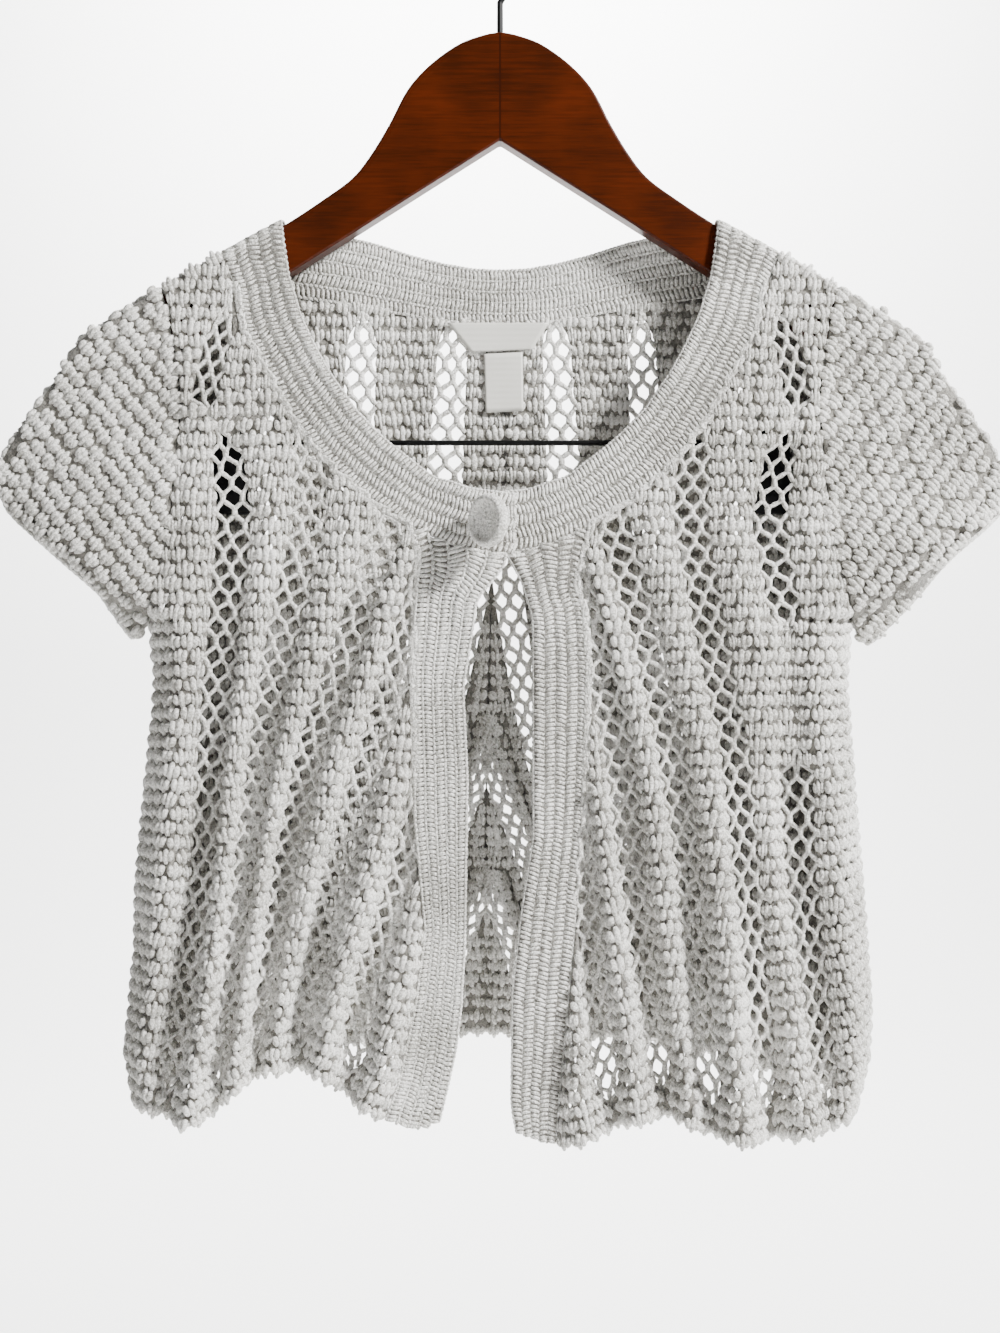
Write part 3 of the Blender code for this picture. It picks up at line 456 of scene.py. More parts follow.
def wave_between(knots, x):
    """The pleats' wave at x, eased between the crests and the middles of the lace."""
    knots = sorted(knots)
    stations = np.array([knot[0] for knot in knots])
    heights = np.array([knot[1] for knot in knots])
    after = np.clip(np.searchsorted(stations, x), 1, len(stations) - 1)
    run = np.maximum(stations[after] - stations[after - 1], 0.01)
    share = smooth((x - stations[after - 1]) / run)
    return heights[after - 1] + (heights[after] - heights[after - 1]) * share


def neck_section(table, key_field, key):
    """Read a section of the neckband by its outer edge's drop or distance."""
    keys = values(table, key_field)
    if keys[0] > keys[-1]:
        table = table[::-1]
        keys = keys[::-1]
    return Section(*[float(np.interp(key, keys, values(table, field))) for field in Section._fields])


def lace_half(drop):
    """Half width of a lace column, which opens below the shoulder and closes above the hem."""
    closed = smooth((drop - LAST_ROW + HEM_CLOSED) / HEM_CLOSE_RUN)
    opened = smooth((drop - LACE_TOP) / LACE_TOP_RUN) * (1.0 - closed)
    return read(LACE_HALF_WIDTH, drop) * opened


def add_columns(columns, drop, half_at, outer, inner):
    """Spans and knots of one half, from its outer edge to its inner edge, where columns come out."""
    spans = []
    knots = [(outer, 0.0)]
    for number, name in enumerate(columns[0]._fields[1:]):
        middle = read(columns, drop, name)
        half = half_at(number, middle)
        rim = max(middle + half, inner)
        far = max(middle - half, inner)
        under_band = max(middle - half, inner - NET_UNDER_BAND)
        out_yet = rim > inner
        spans += [Span("wedge", number, outer, rim), Span("lace", number, rim, under_band)]
        knots += [((outer + rim) / 2, CREST if out_yet else 0.0), (rim, LACE_RIM if out_yet else 0.0)]
        if out_yet:
            swell = LACE_MIDDLE * smooth((rim - inner) / (half + 0.01))
            knots += [(max(middle, inner), swell), (far, LACE_RIM if far > inner else 0.0)]
        outer = far
    return spans, knots, outer


def front_layout(side, drop):
    """Spans of a front at a drop from its outer edge to its band, and the knots of its pleats."""
    if drop < BAND_CORNER:
        inner = neck_section(NECK_FRONT, "outer_drop", drop).outer_out + EDGE_GAP
    else:
        inner = read(side.band_outer, drop) + EDGE_GAP
    half = lace_half(drop)
    shut = max(smooth((drop - start) / CLOSE_RUN) * smooth((end - drop) / CLOSE_RUN)
               for start, end in side.closed)
    spans, knots, outer = add_columns(
        side.columns, drop, lambda number, middle: half * (1.0 - shut * (number == 0)),
        edge_out(side, drop), inner)
    spans.append(Span("wedge", len(spans) // 2, outer, inner))
    crest = BAND_CREST * smooth((outer - inner - BAND_WEDGE_START) / BAND_WEDGE_RUN)
    knots += [((outer + inner) / 2, crest), (inner, 0.0)]
    spans = [Span(span.kind, span.number, side.sign * span.start, side.sign * span.end) for span in spans]
    return spans, [(side.sign * out, wave) for out, wave in knots]


def back_x(side, out, drop):
    """Place on the back at a distance from its middle, which hangs to one side lower down."""
    return side.sign * out + read(BACK_MIDDLE, drop) * smooth(1.0 - out / BACK_MIDDLE_REACH)


def back_layout(drop):
    """Spans and knots of the back at a drop, from the right side to the left."""
    over_top = 1.0 - smooth((drop - BACK_TOP_END) / BACK_TOP_RUN)
    half = lace_half(drop) * (1.0 + (BACK_LACE_TOP - 1.0) * over_top)
    gathered = BACK_GATHER * smooth((drop - GATHER_START) / GATHER_RUN)

    def half_at(number, middle):
        narrowed = half * (MIDDLE_LACE if number >= MIDDLE_COLUMN else 1.0)
        return narrowed * (1.0 - gathered * smooth((middle - GATHER_OUT) / GATHER_OUT_RUN))

    spans = []
    knots = []
    edges = []
    for side, first in ((RIGHT, 0), (LEFT, LEFT_NUMBERS)):
        half_spans, half_knots, outer = add_columns(COLUMNS_BACK, drop, half_at, edge_out(side, drop), 0.0)
        for span in half_spans:
            start, end = (back_x(side, out, drop) for out in (span.start, max(span.end, 0.0)))
            spans.append(Span(span.kind, first + span.number, start, end))
        knots += [(back_x(side, out, drop), wave) for out, wave in half_knots]
        edges.append(back_x(side, outer, drop))
    spans.append(Span("wedge", MIDDLE_NUMBER, edges[0], edges[1]))
    crest = BACK_MIDDLE_CREST * smooth((edges[1] - edges[0]) / BACK_MIDDLE_RUN)
    knots.append(((edges[0] + edges[1]) / 2, crest))
    return spans, knots


def back_top(out):
    """Top edge of the back: under the neckband, then along the shoulder."""
    edge = NECK_BACK[::-1]
    under_band = np.interp(out, values(edge, "outer_out"), values(edge, "outer_drop")) + SEAM
    return np.where(out < NECK_END_OUT, under_band, shoulder_drop(out))


class Panel:
    """A front or the back: its layout by rows and its curved surface."""

    def __init__(self, face, layout, hem, top):
        self.face = face
        self.layout = layout
        self.hem = hem
        self.top = top

    def at(self, x, row_drop):
        """Points of the surface on one row; the row stays under the panel's top edge."""
        x = np.asarray(x, dtype=float)
        knots = self.layout(row_drop)[1]
        drop = np.maximum(row_drop, self.top(np.abs(x)))
        wave = wave_between(knots, x)
        return place(x, cloth_y(x, drop, wave, self.face), pulled(drop, self.hem, np.abs(x)))

    def turns(self, x, row_drop):
        """Euler turns of stitches on one row: x along the row, z out of the cloth."""
        across = self.at(np.asarray(x) + 1.0, row_drop) - self.at(np.asarray(x) - 1.0, row_drop)
        up = self.at(x, row_drop - 3.0) - self.at(x, row_drop + 3.0)
        return euler_turns(-self.face * across, up)


def unit(vectors):
    return vectors / np.maximum(np.linalg.norm(vectors, axis=-1, keepdims=True), 1e-9)


def euler_turns(across, up):
    """Euler angles that lay x along "across" and y near "up"."""
    across = unit(across)
    up = np.where(np.linalg.norm(up, axis=-1, keepdims=True) < 1e-6, np.array([0.0, 0.0, 1.0]), up)
    normal = unit(np.cross(across, up))
    up = np.cross(normal, across)
    turns = [Matrix([list(row) for row in rows]).transposed().to_euler() for rows in zip(across, up, normal)]
    return np.array([list(turn) for turn in turns]).reshape(-1, 3)


def linear(hex_colour):
    """Linear RGBA from an sRGB hex colour."""
    shares = [int(hex_colour[start:start + 2], 16) / 255 for start in (1, 3, 5)]
    straight = [share / 12.92 if share <= 0.04045 else ((share + 0.055) / 1.055) ** 2.4 for share in shares]
    return (*straight, 1.0)


def add_node(tree, kind, inputs=None, **settings):
    """Add a node with its own settings; each input is a value or another node's output."""
    node = tree.nodes.new(kind)
    for name, value in settings.items():
        setattr(node, name, value)
    for key, value in (inputs or {}).items():
        if isinstance(value, bpy.types.NodeSocket):
            tree.links.new(value, node.inputs[key])
        else:
            node.inputs[key].default_value = value
    return node


def add_math(tree, operation, *given):
    """Add one sum; returns its output."""
    return add_node(tree, "ShaderNodeMath", dict(enumerate(given)), operation=operation).outputs[0]


def add_noise(tree, where, size, **inputs):
    """Add noise with grains of a size in metres; returns its output."""
    inputs = {name.replace("_", " "): value for name, value in inputs.items()}
    return add_node(tree, "ShaderNodeTexNoise", {"Vector": where, "Scale": 1 / size, **inputs}).outputs["Fac"]


def add_mix(tree, share, first, second):
    """Add a mix of two colours; returns its output."""
    return add_node(tree, "ShaderNodeMix", {0: share, 6: first, 7: second}, data_type="RGBA").outputs[2]


def add_bump(tree, shader, height, strength, distance):
    """Raise the surface by a height, with a distance in metres."""
    bump = add_node(tree, "ShaderNodeBump", {"Height": height, "Strength": strength, "Distance": distance})
    tree.links.new(bump.outputs["Normal"], shader.inputs["Normal"])


def new_material(name, **inputs):
    """A Principled material; returns it, its tree, its shader and the object's own coordinates."""
    material = bpy.data.materials.new(name)
    material.use_nodes = True
    tree = material.node_tree
    shader = tree.nodes["Principled BSDF"]
    for key, value in inputs.items():
        shader.inputs[key.replace("_", " ")].default_value = value
    return material, tree, shader, add_node(tree, "ShaderNodeTexCoord").outputs["Object"]


def make_cotton(name, light, shade):
    """Mercerised cotton yarn, plied and crocheted: matt, with soft fuzz and a fine broken grain that is
    partly real ply tone and partly painted highlight and painted shade.
    """
    material, tree, shader, where = new_material(name, Roughness=0.75, Sheen_Weight=0.2, Sheen_Roughness=0.5)
    # plies of about 1.3 mm, whose tone is partly their own and partly a painted highlight on each ply and
    # painted shade between them, on a slow change of tone
    plies = add_noise(tree, where, 0.0013, Detail=2.0, Roughness=0.65, Distortion=0.6)
    patches = add_noise(tree, where, 0.045, Detail=1.0)
    summed = add_math(tree, "MULTIPLY_ADD", patches, 0.25, add_math(tree, "MULTIPLY", plies, 0.75))
    share = add_node(tree, "ShaderNodeMapRange", {"Value": summed, "From Min": 0.4, "From Max": 0.58})
    colour = add_mix(tree, share.outputs[0], linear(shade), linear(light))
    tree.links.new(colour, shader.inputs["Base Color"])
    add_bump(tree, shader, plies, 1.0, 0.0012)
    return material


def make_satin():
    """Woven polyester satin of the labels: smooth, with a fine rib of weft and a soft gloss."""
    material, tree, shader, where = new_material(
        "polyester_satin", Roughness=0.42, Base_Color=linear("#d2d0c8"), Sheen_Weight=0.2)
    # weft of 0.35 mm, drawn at 0.5 mm to show; the wave has 20 bands to a unit of its scale
    weft = add_node(tree, "ShaderNodeTexWave", {"Vector": where, "Scale": 1 / 0.0005 / 20, "Distortion": 0.4},
                    bands_direction="Z")
    add_bump(tree, shader, weft.outputs["Fac"], 0.25, 0.0002)
    return material


def make_wood():
    """Beech stained mahogany under satin lacquer: fine dark pores that run level, and a mitre line."""
    material, tree, shader, where = new_material(
        "stained_beech", Roughness=0.33, Coat_Weight=0.03, Coat_Roughness=0.25, Specular_IOR_Level=0.12)
    split = add_node(tree, "ShaderNodeSeparateXYZ", {0: where})
    mirrored = add_math(tree, "ABSOLUTE", split.outputs["X"])
    joined = add_node(tree, "ShaderNodeCombineXYZ", {
        0: mirrored, 1: split.outputs["Y"], 2: split.outputs["Z"]})
    # pores 1.2 mm wide and 25 mm long; the noise is turned after it is stretched, so they stay level
    along = add_node(tree, "ShaderNodeMapping", {
        "Vector": joined.outputs[0], "Rotation": (0.0, -math.radians(32), 0.0),
        "Scale": (1 / 0.025, 1 / 0.0012, 1 / 0.0012)})
    grain = add_noise(tree, along.outputs[0], 1.0, Detail=4.0, Roughness=0.65)
    cloud = add_noise(tree, joined.outputs[0], 0.04, Detail=2.0)
    share = add_node(tree, "ShaderNodeMapRange", {
        "Value": add_math(tree, "ADD", grain, cloud), "From Min": 0.75, "From Max": 1.3})
    stain = add_mix(tree, share.outputs[0], linear("#2c0e02"), linear("#491a05"))
    # the two arms meet in a glued mitre under 1 mm wide
    line = add_node(tree, "ShaderNodeMapRange", {"Value": mirrored, "From Min": 0.0003, "From Max": 0.0007})
    glued = add_mix(tree, line.outputs[0], linear("#260b02"), stain)
    tree.links.new(glued, shader.inputs["Base Color"])
    add_bump(tree, shader, grain, 0.12, 0.0003)
    return material


def make_black(name, hex_colour, roughness, grain_size, depth):
    """Black enamel on steel wire, or moulded ABS: near black with an even fine grain."""
    material, tree, shader, where = new_material(
        name, Roughness=roughness, Base_Color=linear(hex_colour), Specular_IOR_Level=0.15)
    add_bump(tree, shader, add_noise(tree, where, grain_size), 0.3, depth)
    return material


def make_tree(name, sockets):
    """An empty geometry tree with named inputs; returns it with its input and output nodes."""
    tree = bpy.data.node_groups.new(name, "GeometryNodeTree")
    tree.interface.new_socket("Geometry", in_out="INPUT", socket_type="NodeSocketGeometry")
    for socket, kind in sockets:
        tree.interface.new_socket(socket, in_out="INPUT", socket_type=kind)
    tree.interface.new_socket("Geometry", in_out="OUTPUT", socket_type="NodeSocketGeometry")
    return tree, add_node(tree, "NodeGroupInput"), add_node(tree, "NodeGroupOutput")


def make_stitch_tree():
    """Sets one stitch on every point, turned and sized by the point, each a little different."""
    tree, given, result = make_tree("set stitches", [
        ("Stitch", "NodeSocketObject"), ("Turn Spread", "NodeSocketFloat"),
        ("Size Spread", "NodeSocketFloat"), ("Seed", "NodeSocketInt"), ("Yarn", "NodeSocketMaterial")])

    def varied(name, operation, low, high):
        """A point's own turn or size with a random change between two values."""
        kept = add_node(tree, "GeometryNodeInputNamedAttribute", {"Name": name}, data_type="FLOAT_VECTOR")
        drawn = add_node(tree, "FunctionNodeRandomValue", {0: low, 1: high, "Seed": given.outputs["Seed"]},
                         data_type="FLOAT_VECTOR")
        return add_node(tree, "ShaderNodeVectorMath", {0: kept.outputs["Attribute"], 1: drawn.outputs[0]},
                        operation=operation).outputs[0]

    turns, sizes = given.outputs["Turn Spread"], given.outputs["Size Spread"]
    turned = varied("turn", "ADD", add_math(tree, "MULTIPLY", turns, -1.0), turns)
    small, large = (add_math(tree, change, 1.0, sizes) for change in ("SUBTRACT", "ADD"))
    sized = varied("size", "MULTIPLY", small, large)
    rotation = add_node(tree, "FunctionNodeEulerToRotation", {"Euler": turned})
    shape = add_node(tree, "GeometryNodeObjectInfo", {"Object": given.outputs["Stitch"], "As Instance": True})
    instances = add_node(tree, "GeometryNodeInstanceOnPoints", {
        "Points": given.outputs["Geometry"], "Instance": shape.outputs["Geometry"],
        "Rotation": rotation.outputs[0], "Scale": sized})
    finish(tree, instances, given, result)
    return tree


def make_yarn_tree():
    """Runs a yarn of chain stitches along every edge, as thick as its points say."""
    tree, given, result = make_tree("run yarn", [
        ("Stitch Length", "NodeSocketFloat"), ("Swell", "NodeSocketFloat"), ("Sides", "NodeSocketInt"),
        ("Yarn", "NodeSocketMaterial")])
    lines = add_node(tree, "GeometryNodeMeshToCurve", {"Mesh": given.outputs["Geometry"]})
    even = add_node(tree, "GeometryNodeResampleCurve", {
        "Curve": lines.outputs[0], "Length": given.outputs["Stitch Length"]}, mode="LENGTH")
    odd = add_math(tree, "MODULO", add_node(tree, "GeometryNodeInputIndex").outputs[0], 2.0)
    swell = add_math(tree, "MULTIPLY_ADD", odd, given.outputs["Swell"], 1.0)
    girth = add_node(tree, "GeometryNodeInputNamedAttribute", {"Name": "girth"}, data_type="FLOAT")
    profile = add_node(tree, "GeometryNodeCurvePrimitiveCircle", {
        "Resolution": given.outputs["Sides"], "Radius": 1.0})
    tube = add_node(tree, "GeometryNodeCurveToMesh", {
        "Curve": even.outputs[0], "Profile Curve": profile.outputs[0],
        "Scale": add_math(tree, "MULTIPLY", girth.outputs["Attribute"], swell), "Fill Caps": True})
    finish(tree, tube, given, result)
    return tree


def finish(tree, made, given, result):
    """The end of each tree: realized, smooth, and in its material."""
    real = add_node(tree, "GeometryNodeRealizeInstances", {0: made.outputs[0]})
    even = add_node(tree, "GeometryNodeSetShadeSmooth", {0: real.outputs[0]})
    painted = add_node(tree, "GeometryNodeSetMaterial", {
        0: even.outputs[0], "Material": given.outputs["Yarn"]})
    tree.links.new(painted.outputs[0], result.inputs[0])


def new_object(name, mesh, material=None):
    obj = bpy.data.objects.new(name, mesh)
    bpy.context.scene.collection.objects.link(obj)
    if material:
        mesh.materials.append(material)
    return obj


def new_mesh(name, points, edges, faces):
    mesh = bpy.data.meshes.new(name)
    mesh.from_pydata([tuple(point) for point in points], edges, faces)
    return mesh


def grow(name, mesh, tree, inputs):
    """Run a geometry tree over a mesh and keep the result as a plain mesh object."""
    source = new_object(name + "_source", mesh)
    modifier = source.modifiers.new("tree", "NODES")
    modifier.node_group = tree
    sockets = {item.name: item.identifier for item in tree.interface.items_tree if item.in_out == "INPUT"}
    for key, value in inputs.items():
        modifier[sockets[key]] = value
    ready = source.evaluated_get(bpy.context.evaluated_depsgraph_get())
    made = bpy.data.meshes.new_from_object(ready)
    source.modifiers.remove(modifier)
    bpy.data.objects.remove(source)
    made.name = name
    return new_object(name, made)


def turn_outwards(mesh):
    """Point the faces of a closed mesh outwards."""
    work = bmesh.new()
    work.from_mesh(mesh)
    bmesh.ops.recalc_face_normals(work, faces=work.faces)
    work.to_mesh(mesh)
    work.free()


def lobe(points, faces, path, radii, sides):
    """Add a closed strand of yarn along a short path."""
    start = len(points)
    for index, (centre, radius) in enumerate(zip(path, radii)):
        before = Vector(path[max(index - 1, 0)])
        along = (Vector(path[min(index + 1, len(path) - 1)]) - before).normalized()
        sideways = along.cross(Vector((0.0, 0.0, 1.0))).normalized()
        outwards = sideways.cross(along)
        for step in range(sides):
            turn = 2 * math.pi * step / sides
            around = sideways * math.cos(turn) * radius + outwards * math.sin(turn) * radius
            points.append(Vector(centre) + around)
    last = start + (len(path) - 1) * sides
    for low in range(start, last, sides):
        for step in range(sides):
            after = (step + 1) % sides
            faces.append([low + step, low + after, low + sides + after, low + sides + step])
    faces.append([start + step for step in range(sides)][::-1])
    faces.append([last + step for step in range(sides)])


def make_shape(name, strands, sides=5):
    """A stitch from strands of (path, radii), in millimetres; it is taken away once it is set."""
    points = []
    faces = []
    for path, radii in strands:
        lobe(points, faces, path, radii, sides)
    mesh = new_mesh(name, [point * 0.001 for point in points], [], faces)
    turn_outwards(mesh)
    return new_object(name, mesh)


def puff_shape(swell, rings):
    """A fan of three puffs, each wound round a stitch, gathered at the foot and spread along the top."""
    half = CLUSTER_WIDTH / 2
    strands = []
    for share in (-1, 0, 1):
        path = []
        radii = []
        tall = CLUSTER_HEIGHT + 2 * PUFF_STEP * (1 - 2 * abs(share))
        for ring in range(rings):
            along = ring / (rings - 1)
            spread = share * half * (PUFF_FOOT + PUFF_SPREAD * along ** PUFF_SPREAD_CURVE)
            raised = swell * math.sin(math.pi * along) * (1.0 - PUFF_SIDE_LOWER * abs(share))
            path.append((spread, (along - 0.5) * tall, raised))
            radii.append(PUFF_TIP + PUFF_SWELL * math.sin(math.pi * (0.08 + 0.84 * along)))
        strands.append((path, radii))
    return strands


def point_mesh(name, positions, turns, sizes):
    """Bare points that carry each stitch's turn and size."""
    mesh = new_mesh(name, positions, [], [])
    for label, data in (("turn", turns), ("size", sizes)):
        attribute = mesh.attributes.new(label, "FLOAT_VECTOR", "POINT")
        attribute.data.foreach_set("vector", np.asarray(data).ravel())
    return mesh


class Weave:
    """Collects a ground's points and faces; points that fall together are joined."""

    def __init__(self):
        self.points = []
        self.faces = []
        self.known = {}

    def point(self, position):
        key = tuple(int(round(value * 100000)) for value in position)
        if key not in self.known:
            self.known[key] = len(self.points)
            self.points.append(tuple(float(value) for value in position))
        return self.known[key]

    def cell(self, corners, pierced):
        """A quad between four corners, or eight triangles round a small diamond gap."""
        ring = []
        for index in [self.point(corner) for corner in corners]:
            if index not in ring:
                ring.append(index)
        if len(ring) < 4 or not pierced:
            if len(ring) > 2:
                self.faces.append(ring)
            return
        middle = sum(corners) / 4
        gap = []
        for first, second in zip(corners, corners[1:] + corners[:1]):
            gap.append(self.point(middle + ((first + second) / 2 - middle) * 2 * GROUND_HOLE))
        for step in range(4):
            after = (step + 1) % 4
            self.faces += [[ring[step], ring[after], gap[step]], [gap[step], ring[after], gap[after]]]


def closed_cloth(name, weave, thickness, material):
    """A woven surface as an object, smooth and with its wall."""
    obj = new_object(name, new_mesh(name, weave.points, [], weave.faces), material)
    obj.data.polygons.foreach_set("use_smooth", [True] * len(obj.data.polygons))
    wall = obj.modifiers.new("wall", "SOLIDIFY")
    wall.thickness = thickness * 0.001
    wall.offset = 0.0
    return obj


def cloth_through(name, rows, thickness, material):
    """Cloth through rows of points, without gaps."""
    weave = Weave()
    for upper, lower in zip(rows, rows[1:]):
        for step in range(len(upper) - 1):
            weave.cell([upper[step], upper[step + 1], lower[step + 1], lower[step]], False)
    return closed_cloth(name, weave, thickness, material)


def row_drops(count=2 * ROW_COUNT - 1):
    """Drops of the half rows, from the first to the hem."""
    return [FIRST_ROW + HALF_ROW * step for step in range(count)]


def ground(name, panel, shoulders, material):
    """The cloth under the clusters: every wedge from the top edge to the hem, open at the lace."""
    weave = Weave()
    rows = []
    for below in SHOULDER_ROWS:
        row = {}
        for number, start, end in shoulders:
            x = np.linspace(start, end, CELLS_ACROSS + 1)
            drop = shoulder_drop(np.abs(x)) + below
            row[number] = place(x, cloth_y(x, drop, 0.0, panel.face), drop)
        rows.append(row)
    for drop in row_drops():
        rows.append({span.number: panel.at(np.linspace(span.start, span.end, CELLS_ACROSS + 1), drop)
                     for span in panel.layout(drop)[0] if span.kind == "wedge"})
    for level, (upper, lower) in enumerate(zip(rows, rows[1:])):
        level_pierced = panel.face < 0 and len(SHOULDER_ROWS) < level < len(rows) - 3
        for number in upper:
            if number not in lower:
                continue
            over, under = upper[number], lower[number]
            for step in range(CELLS_ACROSS):
                corners = [over[step], over[step + 1], under[step + 1], under[step]]
                inside = (step + level) % 2 == 0 and 0 < step < CELLS_ACROSS - 1
                weave.cell(corners, level_pierced and inside)
    return closed_cloth(name, weave, GROUND_WALL, material)


def clusters(panel, keep):
    """Positions, turns and sizes of the fans on one panel; keep says which x are wanted."""
    positions, turns, sizes = [], [], []
    over_first = [FIRST_ROW - HALF_ROW * (ROWS_OVER_FIRST - step) for step in range(ROWS_OVER_FIRST)]
    for row, drop in enumerate(over_first + row_drops()):
        for span in panel.layout(drop)[0]:
            if span.kind != "wedge":
                continue
            x = np.linspace(span.start, span.end, 15)
            steps = np.linalg.norm(np.diff(panel.at(x, drop), axis=0), axis=1)
            run = np.concatenate([[0.0], np.cumsum(steps)]) * 1000
            if run[-1] < LEAST_WEDGE:
                continue
            count = max(1, round(run[-1] / CLUSTER_WIDTH))
            if row % 2 and count > 1:
                between = [(step + 1) / count for step in range(count - 1)]
                shares = [END_FAN_SHARE / count] + between + [1 - END_FAN_SHARE / count]
                widths = [END_FAN] + [1.0] * (count - 1) + [END_FAN]
            else:
                shares = [(step + 0.5) / count for step in range(count)]
                widths = [1.0] * count
            middles = np.interp(np.array(shares) * run[-1], run, x)
            turned = panel.turns(middles, drop)
            placed = panel.at(middles, drop)
            for index, middle in enumerate(middles):
                if drop < panel.top(abs(middle)) - UNDER_TOP or not keep(middle):
                    continue
                positions.append(placed[index])
                turns.append(turned[index])
                sizes.append((run[-1] / count / CLUSTER_WIDTH * widths[index], 1.0, 1.0))
    return positions, turns, sizes


def shoulder_clusters(sign, start, end):
    """One line of fans over the shoulder fold."""
    line = np.linspace(start, end, 60)
    steps = np.hypot(np.diff(line), np.diff(shoulder_drop(line)))
    run = np.concatenate([[0.0], np.cumsum(steps)])
    count = int(round(run[-1] / (SHOULDER_FAN_SHARE * CLUSTER_WIDTH)))
    out = np.interp((np.arange(count) + 0.5) * run[-1] / count, run, line)
    middle = place(sign * out, 0.0, shoulder_drop(out) + SHOULDER_FAN_LIFT)
    before, after = (place(sign * near, 0.0, shoulder_drop(near)) for near in (out - 1, out + 1))
    up = np.tile(np.array([0.0, -1.0, 0.0]), (count, 1))
    turned = euler_turns((after - before) * sign * -1.0, up)
    return list(middle), list(turned), [(1.0, SHOULDER_FAN_HEIGHT, 1.0)] * count


class Net:
    """Collects the edges of lace and trimming yarns, with a girth for each point."""

    def __init__(self):
        self.points = []
        self.edges = []
        self.girths = []

    def strand(self, path, girth):
        start = len(self.points)
        self.points += [tuple(float(value) for value in point) for point in path]
        self.girths += [girth * 0.001] * len(path)
        self.edges += [(start + step, start + step + 1) for step in range(len(path) - 1)]

    def mesh(self, name):
        mesh = new_mesh(name, self.points, self.edges, [])
        mesh.attributes.new("girth", "FLOAT", "POINT").data.foreach_set("value", self.girths)
        return mesh


def lace(net, panel, seed):
    """The lace net: in each repeat two large gaps side by side, then a smaller one between them."""
    sway = np.random.default_rng(seed).uniform(-NET_SWAY, NET_SWAY, (2 * ROW_COUNT, LACE_NUMBERS, 3))
    steps = row_drops(2 * ROW_COUNT)
    found = [{span.number: span for span in panel.layout(min(drop, LAST_ROW))[0] if span.kind == "lace"}
             for drop in steps]

    def node(level, number, spread, lift=0.0):
        span = found[level][number]
        moved = sway[level, number, int(np.sign(spread)) + 1] if abs(spread) < 1.0 else 0.0
        x = (span.start + span.end) / 2 + (spread + moved) * (span.end - span.start) / 2
        return panel.at([x], min(steps[level] + lift * (1.0 + 2.0 * moved), LAST_ROW))[0]

    girth = BACK_NET_RADIUS if panel.face > 0 else NET_RADIUS
    knot_girth = girth * KNOT_GIRTH
    edge_lift = KNOT_HALF * NET_EDGE_LIFT
    for level in range(0, len(steps) - 2, 2):
        for number in found[level]:
            if max(abs(row[number].end - row[number].start) for row in found[level:level + 3]) < LEAST_LACE:
                continue
            high, low = node(level, number, 0, -KNOT_HALF), node(level, number, 0, KNOT_HALF)
            net.strand([high, low], knot_girth)
            for side in (-1, 1):
                top, bottom = (node(level + 1, number, side * NET_SPREAD, lift)
                               for lift in (-KNOT_HALF, KNOT_HALF))
                net.strand([top, bottom], knot_girth)
                net.strand([low, top], girth)
                net.strand([bottom, node(level + 2, number, 0, -KNOT_HALF)], girth)
                net.strand([node(level, number, side * NET_EDGE, edge_lift), top], girth)
                net.strand([bottom, node(level + 2, number, side * NET_EDGE, -edge_lift)], girth)


def hem_yarn(net, panel):
    """A line of chain stitches along the hem."""
    spans = panel.layout(LAST_ROW)[0]
    low = min(min(span.start, span.end) for span in spans)
    high = max(max(span.start, span.end) for span in spans)
    net.strand(panel.at(np.linspace(low, high, 90), LAST_ROW), EDGE_RADIUS)


def sleeve_grid(side, fine):
    """Fine rows of (out, drop, y) on one sleeve's front half, from the shoulder fold to the lower fold."""
    armhole = float(read(ARMHOLE, FIRST_ROW))
    start = [Point(armhole, float(shoulder_drop(armhole)))]
    start.append(Point(armhole, start[0].drop + FOLD_OVER))
    start += [Point(float(read(ARMHOLE, drop)), drop) for drop in ROWS[1:12]]
    start.append(Point(float(read(ARMHOLE, UNDERARM)) + 2 * SEAM, UNDERARM - 4 * SEAM))
    count = len(start)
    hem_shares = np.linspace(0, 1, len(side.sleeve_hem))
    line = np.linspace(0, 1, count)
    ends_out = np.interp(line, hem_shares, values(side.sleeve_hem, "out"))
    ends_drop = np.interp(line, hem_shares, values(side.sleeve_hem, "drop"))
    grid = np.zeros((count, SLEEVE_STEPS * fine + 1, 2))
    for reach in range(SLEEVE_STEPS * fine + 1):
        share = reach / (SLEEVE_STEPS * fine)
        top_drop = shoulder_drop(start[0].out + (ends_out[0] - start[0].out) * share)
        straight = start[0].drop + (ends_drop[0] - start[0].drop) * share
        for step in range(count):
            fade = (1.0 - step / (count - 1)) ** 2
            out = start[step].out + (ends_out[step] - start[step].out) * share + EDGE_GAP
            sloped = start[step].drop + (ends_drop[step] - start[step].drop) * share
            drop = sloped + (top_drop - straight) * fade
            if step == 0:
                drop = shoulder_drop(out)
            if step == 1:
                out, drop = grid[0, reach, 0], grid[0, reach, 1] + FOLD_OVER
            grid[step, reach] = out, drop
    stations = np.linspace(0, count - 1, (count - 1) * fine + 1)
    rows = []
    for station in stations:
        low = min(int(station), count - 2)
        row = grid[low] + (grid[low + 1] - grid[low]) * (station - low)
        rows.append(np.column_stack([row, np.full(len(row), min(station, count - 1 - station, 1.0))]))
    return np.array(rows)


def sleeve_surface(side, grid, face):
    """The sleeve's points on its front or its back half."""
    x = side.sign * grid[..., 0]
    stand = np.maximum(np.abs(cloth_y(x, grid[..., 1], 0.0, face)), SLEEVE_HALF_GAP)
    return place(x, face * stand * rounded(grid[..., 2], 1.0), grid[..., 1])


def sleeve_ground(name, side, material):
    """The sleeve's cloth, a flattened tube open at the armhole and at its hem."""
    grid = sleeve_grid(side, 2)
    front, back = (list(sleeve_surface(side, grid, face)) for face in (-1, 1))
    return cloth_through(name, front + back[-2:0:-1] + front[:1], GROUND_WALL, material)


